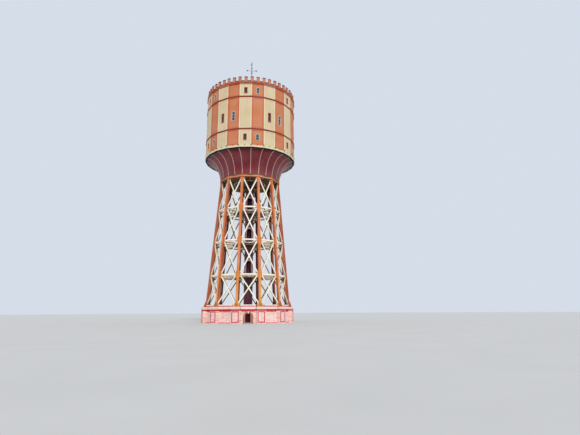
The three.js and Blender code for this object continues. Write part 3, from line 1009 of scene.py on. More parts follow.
class BayFrame:
    """The slanted plane of the front bay: u along it, v up its slope, w out of it."""

    def __init__(self) -> None:
        """Works out the plane through two neighbouring legs' axes.

        Its origin lies midway between their feet, and v runs from there to midway between their
        heads.
        """
        chord = np.cos(np.radians(BAY / 2))
        self.origin = polar(LEG_FOOT_RADIUS * chord, 0, FOOT_LEVEL)
        self.up = normalised(polar(LEG_HEAD_RADIUS * chord, 0, HEAD_LEVEL) - self.origin)
        self.out = np.cross(ACROSS, self.up)

    def place(self, flat: Array, w: float) -> Array:
        """The places in the tower of points [u, v] of the bay's plane, moved w out of it."""
        return self.origin + flat[..., :1] * ACROSS + flat[..., 1:] * self.up + w * self.out

    def flat(self, u: Places, level: Places) -> Array:
        """A place in the bay by how far along it lies and its level, as u and v."""
        u, level = np.broadcast_arrays(u, level)
        return np.stack([u, (level - FOOT_LEVEL) / self.up[2]], axis=-1)

    @staticmethod
    def half(level: Places) -> Places:
        """Half the distance between two legs' axes at a level."""
        return leg_radius(level) * np.sin(np.radians(BAY / 2))


@dataclass
class Plinth:
    """The masonry ring: coping, scallops, dentils, pilaster strips, panels and the doorway."""

    top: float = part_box("plinth_back")[1].z
    wall_radius: float = 3.1165
    pier_half: float = 0.3
    margin: float = 0.035
    string: Span = (0.94, 1.0)
    red_band: Span = (0.82, 0.925)
    frieze: Span = (1.0, 1.15)
    door_width: float = 0.475
    door_crown: float = 0.675
    scallop_pitch: float = 0.11
    scallop_drop: float = 0.084
    dentil_count: int = 12
    dentil_half: float = 0.018

    def __post_init__(self) -> None:
        """Lays out the wall's twelve flat sides and the piers' faces.

        The free half of a side is what the pier at its end leaves, less a small margin.
        """
        self.walls = Facets(self.wall_radius, LEG_COUNT, 0.0)
        self.piers = Facets((LEG_FOOT_RADIUS + self.pier_half) / np.cos(np.pi / LEG_COUNT), LEG_COUNT,
                            BAY / 2)
        self.free = self.walls.half - self.pier_half - self.margin

    def coping(self) -> Skin:
        """The wall's coping, in lengths between the piers' seats.

        Returns:
            A section with a half-round nose, carried along each side.
        """
        reach = self.walls.apothem + 0.03
        turn = np.linspace(-np.pi / 2, np.pi / 2, 9)
        nose = np.stack([-reach - 0.018 * np.cos(turn), self.top - 0.03 + 0.03 * np.sin(turn)], 1)
        back = [[0.02 - reach, self.top], [0.02 - reach, self.top - 0.06]]
        section = np.concatenate([nose, back])
        ends = np.repeat([-1.0, 1.0], len(section)).reshape(2, -1, 1) * (self.free - 0.03)
        sections = np.concatenate([ends, np.stack([section, section])], axis=-1)
        return swept(sections).around(BAY_ANGLES)

    def scallops(self) -> Skin:
        """A row of half ellipses that hangs from the red band, between the piers.

        Returns:
            The plates, each 0.7 of the pitch wide.
        """
        count = int(2 * self.free / self.scallop_pitch)
        turn = np.linspace(0, -np.pi, 11)
        half, drop = 0.35 * self.scallop_pitch, self.scallop_drop
        disc = np.stack([half * np.cos(turn), drop * np.sin(turn)], axis=1)
        places = (np.arange(count) - (count - 1) / 2) * self.scallop_pitch
        origins = self.walls.place(np.zeros(count, int), places, 0.0, self.red_band[0] + 0.004)
        row = Skin().take(*[slab(disc, origin, ACROSS, UP, (LET_IN, 0.014)) for origin in origins])
        return row.around(BAY_ANGLES)

    def dentils(self) -> Skin:
        """Small blocks on each side, under the coping's moulding.

        Returns:
            The blocks' skin, with equal gaps from pier to pier.
        """
        count, half = self.dentil_count, self.dentil_half
        places = (np.arange(count) - (count - 1) / 2) * 2 * self.free / count
        level = (self.frieze[1] - 2 * half, self.frieze[1] + 0.002)
        return Skin().take(*[
            self.walls.blocks(SIDES, (x - half, x + half), (-0.005, 0.026), level) for x in places
        ])

    def panels(self) -> Skin:
        """Raised borders on the wall below the band, on every side but the doorway's."""
        half = self.free - 0.06
        return self.walls.border(SIDES[1:], (-half, half), (0.1, 0.7), 0.03, (LET_IN, 0.012))

    def pilasters(self) -> Skin:
        """Raised borders round each pier's face."""
        half = self.pier_half - 0.045
        return self.piers.border(SIDES, (-half, half), (0.06, 0.8), 0.07, (LET_IN, 0.01))

    def base(self) -> Skin:
        """A low plain skirting round the wall, left out at the doorway."""
        return self.walls.blocks(SIDES[1:], (-self.free - 0.04, self.free + 0.04),
                                 (-0.005, 0.03), (0.0, 0.09))

    def archivolt(self, section: list[Span]) -> Skin:
        """Part of the doorway's surround: up one jamb, round the half-circle head, down the other.

        Args:
            section: its points, as steps out from the opening and off the wall.

        Returns:
            The moulding's skin.
        """
        radius = self.door_width / 2
        turn = np.linspace(0, np.pi, 25)
        path = np.stack([np.cos(turn), np.sin(turn)], axis=1)[[0, *range(25), 24]]
        base = np.full(27, self.door_crown - radius)
        path[[0, -1], 1] = 0.0
        base[[0, -1]] = 0.004
        step, off = np.array(section).T
        x = path[:, :1] * (radius + step)
        z = path[:, 1:] * (radius + step) + base[:, None]
        return swept(np.stack([x, np.broadcast_to(-self.walls.apothem - off, x.shape), z], axis=-1))

    def keystone(self) -> Skin:
        """A wedge at the crown of the doorway.

        Returns:
            The wedge, 60 mm wide at its foot and 92 mm at its head.
        """
        wedge = np.array([[-0.03, 0.0], [0.03, 0.0], [0.046, 0.12], [-0.046, 0.12]])
        origin = np.array([0.0, -self.walls.apothem, self.door_crown - 0.012])
        return slab(wedge, origin, ACROSS, UP, (-0.01, 0.062))

    def build(self) -> None:
        """Dresses the quarters in bands of colour by level, and builds the trim."""
        worn = Weather(fade=0.3, streaks=0.16, grime=0.4, streak_colour=tint(150, 110, 96))
        wall = BrickPaint(
            "plinth_brick", BRICK_PINK, worn, roughness=0.75, grain=0.002, waves=0.006,
            bands=(
                (*self.red_band, BAND_RED), (*self.string, WALL_WHITE), (*self.frieze, BAND_PINK),
                (self.frieze[1], self.top + 0.01, WALL_WHITE),
                (FOOT_LEVEL - 0.062, FOOT_LEVEL + 0.002, WALL_WHITE),
            ),
        )
        dress(quarters("plinth"), wall.material())
        outer = [(0.04, -0.02), (0.04, 0.04), (0.074, 0.046), (0.088, 0.028), (0.088, -0.02)]
        inner = [(0.002, -0.02), (0.002, 0.03), (0.04, 0.036), (0.04, -0.02)]
        for name, skin, colour in (
            ("plinth_coping", self.coping(), WALL_WHITE),
            ("plinth_dentils", self.dentils(), BAND_PINK),
            ("plinth_scallops", self.scallops(), BAND_RED),
            ("plinth_panels", self.panels(), WALL_WHITE),
            ("plinth_pilasters", self.pilasters(), PILASTER_PINK),
            ("plinth_skirting", self.base(), BAND_PINK),
            ("doorway_archivolt", self.archivolt(outer), ARCH_BROWN),
            ("doorway_inner_arch", self.archivolt(inner), ARCH_OCHRE),
            ("doorway_keystone", self.keystone(), WALL_WHITE),
        ):
            painted(name, skin, colour, "masonry", worn, 40, roughness=0.7, grain=0.0015)


class Cover(Enum):
    """The cover plates at a leg's foot, rings and head: outlines of (reach, rise) from its axis."""

    FOOT = ((0.07, 0.032), (0.2, 0.032), (0.2, 0.1), (0.085, 0.25), (0.07, 0.25))
    RING = ((0.07, -0.26), (0.095, -0.26), (0.17, -0.12), (0.17, 0.12), (0.095, 0.26), (0.07, 0.26))
    HEAD = ((0.07, -0.3), (0.085, -0.3), (0.18, -0.1), (0.18, -0.004), (0.07, -0.004))

    def levels(self) -> tuple[float, ...]:
        """The levels that the outline's rises start from."""
        return {"FOOT": (FOOT_LEVEL,), "RING": RING_LEVELS, "HEAD": (HEAD_LEVEL,)}[self.name]

    def rivet_grid(self) -> Array:
        """A grid's points that lie at least 18 mm inside every edge of the plate.

        Returns:
            The places, as (reach, rise).
        """
        outline = np.array(self.value)
        edges = normalised(np.roll(outline, -1, axis=0) - outline)
        inward = np.stack([-edges[:, 1], edges[:, 0]], axis=1)
        grid = np.stack(np.meshgrid([0.094, 0.127, 0.16], 0.06 * np.arange(-6.5, 7)), -1).reshape(-1, 2)
        depth = np.einsum("gec,ec->ge", grid[:, None] - outline, inward).min(axis=1)
        return grid[depth > 0.018]


@dataclass
class Legs:
    """The twelve battered legs: edge angles, splice plates, cover plates, rivets and feet."""

    angle_width: float = 0.036
    angle_thickness: float = 0.006
    rivet: float = 0.0065
    pitch: float = 0.08
    splice_half: float = 0.2
    cover: Span = (0.0385, 0.0465)
    gusset_back: float = -0.0075
    base_plate: float = 0.03

    def __post_init__(self) -> None:
        """Works out how far the legs lean and where their plates are spliced.

        The lean is the radius lost with each metre of height. A splice lies 0.36 of the way up from
        one ring to the next.
        """
        self.bay = BayFrame()
        self.lean = (LEG_FOOT_RADIUS - LEG_HEAD_RADIUS) / (HEAD_LEVEL - FOOT_LEVEL)
        stops = np.array([FOOT_LEVEL, *RING_LEVELS, HEAD_LEVEL])
        self.splices = stops[:-1] + 0.36 * np.diff(stops)

    def strip(self, across: Span, outward: Span, levels: Span) -> Skin:
        """A bar that leans with the front leg.

        Args:
            across: where it starts and ends across the leg.
            outward: where it starts and ends off the leg's axis.
            levels: its bottom and top.

        Returns:
            The bar's skin.
        """
        x = np.array(across)[[0, 1, 1, 0]]
        level = np.repeat(levels, 4).reshape(2, 4)
        y = -leg_radius(level) - np.array(outward)[[0, 0, 1, 1]]
        return swept(np.stack([np.broadcast_to(x, y.shape), y, level], axis=-1))

    def plates(self) -> Skin:
        """Angles over the leg's four edges, and cover plates where its lengths meet.

        Returns:
            Thin leaning bars, one on each face of an edge.
        """
        skin = Skin()
        half, deep = LEG_WIDTH / 2, LEG_DEPTH / 2
        thick, wide = self.angle_thickness, self.angle_width
        levels = (FOOT_LEVEL + self.base_plate, HEAD_LEVEL - 0.002)
        for out in (-1, 1):
            skin.take(
                self.strip((half - wide, half + thick), (out * deep, out * (deep + thick)), levels),
                self.strip((half, half + thick), (out * (deep - wide), out * deep), levels),
                *[self.strip((0.0, half - 0.004), (out * deep, out * (deep + 2 * thick)),
                             (level - self.splice_half, level + self.splice_half))
                  for level in self.splices],
            )
        return skin.with_mirror()

    def edge_rivets(self) -> Skin:
        """Rows of rivets up the edge angles, on all four faces.

        Returns:
            The heads, raised by a plate's thickness where the leg is spliced.
        """
        levels = np.arange(FOOT_LEVEL + 0.1, HEAD_LEVEL - 0.03, self.pitch)
        row = self.angle_width / 2
        spliced = np.abs(levels[:, None] - self.splices).min(axis=1) < self.splice_half
        lift = self.angle_thickness * np.where(spliced, 2, 1)
        x = np.full_like(levels, LEG_WIDTH / 2 - row)
        skin = Skin()
        for out in (-1, 1):
            radius = leg_radius(levels) + out * (LEG_DEPTH / 2 + lift)
            face = np.stack([x, -radius, levels], axis=1)
            skin.take(rivets(face, np.array([0, -out, out * self.lean]), self.rivet))
            radius = leg_radius(levels) + out * (LEG_DEPTH / 2 - row)
            flank = np.stack([x + row + self.angle_thickness, -radius, levels], axis=1)
            skin.take(rivets(flank, ACROSS, self.rivet))
        return skin.with_mirror()

    def covers(self) -> Skin:
        """Plates over the bars' ends with their rivets, and rivets on the gussets' backs.

        Returns:
            Their skin, drawn in the bay's plane and turned to the leg.
        """
        skin = Skin()
        for cover in Cover:
            outline, grid = np.array(cover.value), cover.rivet_grid()
            for start in cover.levels():
                corners, heads = (
                    self.bay.flat(each[:, 0] - self.bay.half(start + each[:, 1]), start + each[:, 1])
                    for each in (outline, grid)
                )
                skin.take(
                    slab(corners, self.bay.origin, ACROSS, self.bay.up, self.cover),
                    rivets(self.bay.place(heads, self.cover[1]), self.bay.out, self.rivet),
                    rivets(self.bay.place(heads, self.gusset_back), -self.bay.out, self.rivet),
                )
        return skin.around(BAY / 2).with_mirror()

    def foot(self) -> Skin:
        """Stiffeners on the base plate, and anchor bolts with washers and nuts.

        Returns:
            Their skin, on both sides of the leg.
        """
        plate_top = FOOT_LEVEL + self.base_plate
        deep = LEG_DEPTH / 2
        fin = np.array([[deep, 0.0], [0.2, 0.0], [0.2, 0.05], [deep, 0.4]])
        origin = np.array([0.045, -LEG_FOOT_RADIUS, plate_top])
        bolts = np.array([[0.16, -LEG_FOOT_RADIUS + y, plate_top] for y in (-0.15, 0.15)])
        plates = [slab(fin, origin, np.array([0.0, y, 0.0]), UP, PLATE) for y in (-1.0, 1.0)]
        skin = Skin().take(*plates)
        for rise, radius, sides in ((0.0, 0.03, 12), (0.011, 0.022, 6), (0.023, 0.01, 8)):
            skin.take(rivets(bolts + rise * UP, UP, radius, sides))
        return skin.with_mirror()

    def build(self) -> None:
        """Dresses the legs, yellower at the feet, with painted shade on the flanks and inside, and their
        fittings.
        """
        aged = Weather(fade=0.4, streaks=0.24, grime=0.5, streak_colour=tint(120, 44, 24))
        fresh = ((-2.0, 3.0, LEG_YELLOW),)
        # Flank and inside are painted shade on the legs' sides and inward faces.
        material = Paint("leg_paint", LEG_ORANGE, aged, 0.42, 0.0006, 0.003, 0.5, flank=LEG_FLANK_SHADE,
                         inside=LEG_INSIDE_SHADE, bands=fresh, band_softness=1.6).material()
        dress([f"leg_{number:02d}" for number in range(1, LEG_COUNT + 1)], material)
        fittings = Skin().take(self.plates(), self.edge_rivets(), self.covers(), self.foot())
        for number, angle in enumerate(LEG_ANGLES, 1):
            fittings.around(angle).build(f"leg_fittings_{number:02d}", material, "leg_paint")


@dataclass
class Bracing:
    """The crossed diagonals and struts of each bay: edge lips behind them and crossing bolts."""

    diagonal: float = 0.08
    strut: float = 0.095
    web_back: float = 0.0078
    web_front: float = 0.0378
    end_inset: float = 0.0975
    foot_clearance: float = 0.25
    head_clearance: float = 0.165
    lip: float = 0.03
    lip_thickness: float = 0.007
    end_gap: float = 0.13
    crossing_gap: float = 0.06
    bolt: float = 0.009
    bolt_step: float = 0.018

    def __post_init__(self) -> None:
        """Lays out the bars' centre lines in the bay's u and v.

        A tier's diagonals join its lower corners to the upper ones across, and so they cross at
        a / (a + b) of their length, a and b being the bay's half widths below and above.
        """
        self.bay = BayFrame()
        rings = np.array(RING_LEVELS)
        lows = np.array([FOOT_LEVEL + self.foot_clearance, *rings])[:, None]
        highs = np.array([*rings, HEAD_LEVEL - self.head_clearance])[:, None]
        side = np.array([-1, 1])
        pairs = np.stack([self.corner(lows, side), self.corner(highs, -side)], axis=2)
        self.struts = np.stack([self.corner(rings, -1), self.corner(rings, 1)], axis=1)
        self.whole, self.crossed = pairs[:, 0], pairs[:, 1]
        halves = np.abs(self.whole[:, :, 0])
        self.crossing = halves[:, 0] / halves.sum(axis=1)

    def corner(self, level: Array, side: Array | int) -> Array:
        """Where the bars' axes meet beside a leg, on the right for side 1 and left for -1."""
        return self.bay.flat(side * (self.bay.half(level) - self.end_inset), level)

    def lips(self, lines: Array, width: float, start: Array, end: Array) -> Skin:
        """Flanges behind both edges of bars, which make them channels seen from inside.

        Args:
            lines: the bars' centre lines, as (bar, end, uv).
            width: the bars' width.
            start: how far from the first end the flanges start.
            end: how far from it they end.

        Returns:
            The flanges' skin.
        """
        along = normalised(lines[:, 1] - lines[:, 0])
        across = np.stack([-along[:, 1], along[:, 0]], axis=1) * (width - self.lip_thickness) / 2
        skin = Skin()
        behind = self.web_back - self.lip / 2 + 0.001
        for side in (-1, 1):
            near, far = (self.bay.place(lines[:, 0] + reach[:, None] * along + side * across, behind)
                         for reach in (start, end))
            skin.take(bars(near, far, self.bay.out, self.lip_thickness, self.lip))
        return skin

    def fittings(self) -> Skin:
        """All the flanges, with room left where two bars cross, and two bolts at each crossing.

        Returns:
            The front bay's skin.
        """
        run = np.linalg.norm(self.whole[:, 1] - self.whole[:, 0], axis=1)
        middle = self.crossing * run
        inset = np.full_like(run, self.end_gap)
        near = inset[:len(self.struts)]
        span = np.linalg.norm(self.struts[:, 1] - self.struts[:, 0], axis=1)
        along = normalised(self.whole[:, 1] - self.whole[:, 0])
        bolts = np.concatenate([self.whole[:, 0] + (middle + shift)[:, None] * along
                                for shift in (-self.bolt_step, self.bolt_step)])
        return Skin().take(
            self.lips(self.whole, self.diagonal, inset, run - inset),
            self.lips(self.crossed, self.diagonal, inset, middle - self.crossing_gap),
            self.lips(self.crossed, self.diagonal, middle + self.crossing_gap, run - inset),
            self.lips(self.struts, self.strut, near, span - near),
            rivets(self.bay.place(bolts, self.web_front), self.bay.out, self.bolt),
        )

    def build(self) -> None:
        """Dresses the bars, cream with painted shade on the faces towards the axis, and builds each bay's
        fittings.
        """
        aged = Weather(fade=0.3, streaks=0.15, grime=0.4, streak_colour=tint(150, 110, 70))
        # The inside colour is painted shade on the bars' faces that look to the axis.
        material = Paint("bracing_paint", BAR_CREAM, aged, 0.45, 0.0006, 0.003, 0.4,
                         inside=BAR_INSIDE_SHADE).material()
        dress([f"bracing_{number:02d}" for number in range(1, LEG_COUNT + 1)], material)
        fittings = self.fittings()
        for number, angle in enumerate(BAY_ANGLES, 1):
            fittings.around(angle).build(f"bracing_fittings_{number:02d}", material, "bracing_paint")


@dataclass
class Landings:
    """The round landings: joists, rings and knees under the plate, a fascia, flanges and ties."""

    radius: float = 1.2
    plate: float = 0.03
    depth: float = 0.1
    beam_width: float = 0.065
    shaft_radius: float = 0.34
    joist_depth: float = 0.05
    ring_radii: tuple[float, ...] = (0.52, 0.77, 1.0)
    knee: Span = (0.3, 0.26)
    tie: Span = (0.04, 0.055)
    tie_turn: float = 9.0

    def under(self, level: float) -> Skin:
        """Joists from the shaft to the edge ring, and a knee plate under each radial beam.

        Args:
            level: the plate's underside.

        Returns:
            Their skin.
        """
        angles = CORNER_ANGLES + FACET / 2
        height = level - self.joist_depth / 2
        joists = bars(polar(self.shaft_radius, angles, height),
                      polar(self.radius - 0.05, angles, height), UP, 0.014, self.joist_depth)
        top = level + self.plate - self.depth
        origin = np.array([0.0, LEG_DEPTH / 2 - leg_radius(top - 0.02), top])
        knee = np.array([[0.0, 0.0], [-self.knee[0], 0.0], [0.0, -self.knee[1]]])
        plate = slab(knee, origin, polar(1.0, 0, 0.0), UP, PLATE)
        return joists.take(plate.around(LEG_ANGLES))

    def rings(self, level: float) -> Skin:
        """Three rings of T section under the joists.

        Args:
            level: the plate's underside.

        Returns:
            Their skin.
        """
        low = level - self.joist_depth
        return Skin().take(*[
            hoop((radius - half, radius + half), span)
            for radius in self.ring_radii
            for half, span in ((0.03, (low - 0.012, low)), (0.006, (low, level)))
        ])

    def edge(self, level: float) -> Skin:
        """A fascia along the edge ring's top, its rivets, and flanges on the beams to the legs.

        From each leg two ties splay to the ring as well, and meet it tie_turn to either side.

        Args:
            level: the plate's underside.

        Returns:
            Their skin.
        """
        top = level + self.plate
        skin = Facets(self.radius).rivet_rows(FACETS, np.array([-0.1, 0.0, 0.1]), 0.014,
                                              np.array([top - 0.018]), 0.008)
        far = leg_radius(top) - LEG_DEPTH / 2 - 0.002
        middle = top - self.depth / 2
        for turn in (-self.tie_turn, self.tie_turn):
            skin.take(bars(polar(far, LEG_ANGLES, middle),
                           polar(self.radius - 0.02, LEG_ANGLES + turn, middle), UP, *self.tie))
        for drop in (0.0, self.depth):
            skin.take(bars(polar(self.radius - 0.02, LEG_ANGLES, top - drop),
                           polar(far, LEG_ANGLES, top - drop), UP, self.beam_width + 0.04, 0.01))
        return skin.take(hoop((self.radius - 0.02, self.radius + 0.016), (top - 0.062, top + 0.01)))

    def shade_rings(self, level: float) -> Skin:
        """A collar round the shaft, and an angle along the edge ring's foot, in dark plum as painted shade.

        Args:
            level: the plate's underside.

        Returns:
            Their skin.
        """
        low, reach = level + self.plate - self.depth - 0.008, self.radius
        angle = [(reach - 0.03, low), (reach + 0.014, low), (reach + 0.014, low + 0.01),
                 (reach + 0.006, low + 0.014), (reach + 0.006, low + 0.05), (reach - 0.03, low + 0.05)]
        # Both rings are dark plum, painted shade under the plate and below the fascia.
        return hoop((self.shaft_radius, 0.48), (level - 0.016, level - 0.001)).take(
            turned(angle, FACET_COUNT))

    def build(self) -> None:
        """Dresses the plates, pale above with painted plum shade below, and builds their steelwork."""
        aged = Weather(fade=0.4, streaks=0.15, grime=0.6)
        # The under colours are painted shade on the faces that look down.
        floor = Paint("landing_paint", tint(214, 186, 142), aged, 0.55, under=tint(86, 54, 48)).material()
        pieces = [
            (piece, make, Paint(f"landing_{paint}", colour, aged, rough, under=under).material())
            for piece, make, paint, colour, rough, under in (
                ("joists", self.under, "steel", tint(128, 88, 60), 0.55, tint(104, 68, 52)),
                ("rings", self.rings, "edge", tint(255, 248, 226), 0.5, tint(120, 90, 60)),
                ("flanges", self.edge, "beams", tint(255, 248, 226), 0.5, tint(214, 188, 144)),
                ("shade_rings", self.shade_rings, "collar", tint(96, 40, 50), 0.5, None),
            )
        ]
        for number, level in enumerate(RING_LEVELS, 1):
            dress([f"landing_{number}"], floor)
            for piece, make, material in pieces:
                make(level).build(f"landing_{number}_{piece}", material, "landing_paint")


@dataclass
class Shaft:
    """The central shaft: flange rings, cover strips and the doorways' surrounds."""

    radius: float = 0.325
    sides: int = 12
    door_width: float = 0.36
    door_height: float = 1.15
    band: float = 0.1
    hoop_pitch: float = 0.3

    def __post_init__(self) -> None:
        """Reads where each length starts and ends."""
        self.ends = [tuple(corner.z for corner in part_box(f"shaft_{index}")) for index in (1, 2, 3, 4)]

    def hoops(self) -> Skin:
        """A flange at each length's top and hoops above its doorway, with strips up the corners.

        Returns:
            Their skin, with no strip on the corners that the doorway cuts.
        """
        skin = Skin()
        shape = [(-0.022, -0.002), (-0.022, 0.006), (0.0, 0.006), (0.022, 0.006), (0.022, -0.002),
                 (0.0, -0.006)]
        for bottom, top in self.ends:
            rise = np.arange(bottom + self.door_height + 0.16, top - 0.08, self.hoop_pitch)
            skin.take(
                hoop((self.radius - 0.005, self.radius + 0.03), (top - 0.036, top - 0.004),
                     self.sides, BAY / 2),
                *[hoop((self.radius - 0.005, self.radius + 0.012), (level - 0.016, level + 0.016),
                       self.sides, BAY / 2) for level in rise],
                swept(corner_wrap(self.radius, np.array([bottom + 0.004, top - 0.004]), shape,
                                  self.sides)).around(BAY / 2 + BAY * np.arange(2, self.sides - 2)),
            )
        return skin

    def surround(self, foot: float) -> Skin:
        """A moulded band round a doorway, bent with the wall: y follows the polygon's outline at x.

        Args:
            foot: the level of the shaft's length.

        Returns:
            The band's skin.
        """
        radius = self.door_width / 2
        turn = np.linspace(0, np.pi, 29)
        path = np.stack([np.cos(turn), np.sin(turn)], axis=1)[[0, 0, *range(29), 28]]
        spring = self.door_height - radius
        base = np.concatenate([[0.03, 0.5 * spring], np.full(29, spring), [0.03]])
        path[[0, 1, -1], 1] = 0.0
        section = np.array([[0.0, -0.03], [0.0, 0.016], [0.03, 0.022], [self.band - 0.02, 0.018],
                            [self.band, 0.012], [self.band, -0.03]])
        reach = radius + section[:, 0]
        x = path[:, :1] * reach
        corners = polar(self.radius, BAY / 2 + BAY * np.arange(-3, 3), 0.0)
        y = np.interp(x, corners[:, 0], corners[:, 1]) - section[:, 1]
        return swept(np.stack([x, y, foot + base[:, None] + path[:, 1:] * reach], axis=-1))

    def build(self) -> None:
        """Dresses the shaft in plum and builds its fittings, with pink bands round the doorways."""
        aged = Weather(fade=0.4, streaks=0.25, grime=0.4)
        plum = Paint("shaft_paint", PLUM, aged, 0.42, 0.0006, 0.004).material()
        pink = Paint("door_surround_paint", DOOR_PINK, aged, 0.5).material()
        dress([f"shaft_{index}" for index in (1, 2, 3, 4)], plum)
        self.hoops().build("shaft_hoops", plum, "shaft_paint")
        Skin().take(*[self.surround(bottom) for bottom, _ in self.ends]).build(
            "shaft_door_surrounds", pink, "shaft_paint", smooth=25)


@dataclass
class TankBottom:
    """The ring beam's flanges and rivets, and the steelwork under the tank's floor."""

    beam: Span = (2.09, 2.31)
    inner_ring: float = 1.2
    disc: float = 1.14
    stiffeners: tuple[float, ...] = (-0.4, -0.2, 0.0, 0.2, 0.4)
    purlin_radii: tuple[float, ...] = (1.42, 1.64, 1.86)

    def ring_flanges(self) -> Skin:
        """Plates above and below the ring beam's web, stiffeners and rivets between them.

        Returns:
            Their skin.
        """
        low, high = HEAD_LEVEL + 0.001, SKIRT_LEVEL - 0.001
        outer = self.beam[1]
        facets = Facets(outer, LEG_COUNT, 0.0)
        return facets.rivet_rows(SIDES, np.linspace(-0.52, 0.52, 14), 0.0,
                                 np.array([low + 0.03, high - 0.03]), 0.007).take(
            *[hoop((outer - 0.01, outer + 0.022), span, LEG_COUNT, BAY / 2)
              for span in ((low, low + 0.016), (high - 0.016, high))],
            *[facets.blocks(SIDES, (x - 0.006, x + 0.006), (-0.002, 0.018), (low, high))
              for x in self.stiffeners],
        )

    def under(self) -> Skin:
        """Bottom flanges on the radial beams and rings of purlins between them.

        Returns:
            Their skin.
        """
        level = HEAD_LEVEL + 0.03
        far = self.beam[0] * np.cos(np.radians(BAY / 2)) - 0.01
        skin = bars(polar(self.inner_ring, CORNER_ANGLES, level), polar(far, CORNER_ANGLES, level),
                    UP, 0.085, 0.008)
        return skin.take(*[hoop((radius - 0.012, radius + 0.012), (level + 0.03, level + 0.09))
                           for radius in self.purlin_radii])

    def build(self) -> None:
        """Dresses the beam, with olive brown painted shade below and inside, and the floor, and their
        steelwork.
        """
        aged = Weather(fade=0.4, streaks=0.15, grime=0.5, streak_colour=tint(120, 44, 24))
        # The under and inside colours are painted shade on the beam's lower and inward faces.
        beam = Paint("ring_beam_paint", BEAM_SALMON, aged, 0.45, under=OLIVE_BROWN,
                     inside=OLIVE_BROWN).material()
        olive = Paint("tank_floor_paint", OLIVE_BROWN, aged, 0.6).material()
        dress(["ring_beam"], beam)
        dress(["tank_floor"], olive)
        self.ring_flanges().build("ring_beam_flanges", beam, "leg_paint")
        foot, top = HEAD_LEVEL - 0.002, SKIRT_LEVEL - 0.008
        disc = turned([(0.33, top - 0.03), (self.disc, top - 0.006), (self.disc, top), (0.33, top)], 48)
        for name, skin, colour, slot in (
            ("tank_floor_flanges", self.under(), tint(146, 120, 80), "floor_paint"),
            ("tank_floor_collar", hoop((self.inner_ring - 0.075, self.inner_ring + 0.02),
                                       (foot, foot + 0.012)), tint(200, 168, 140), "floor_paint"),
            # The dark purple disc is painted shade in the middle of the tank's underside.
            ("tank_floor_disc", disc, tint(52, 28, 44), "shaft_paint"),
        ):
            painted(name, skin, colour, slot, aged, roughness=0.6)


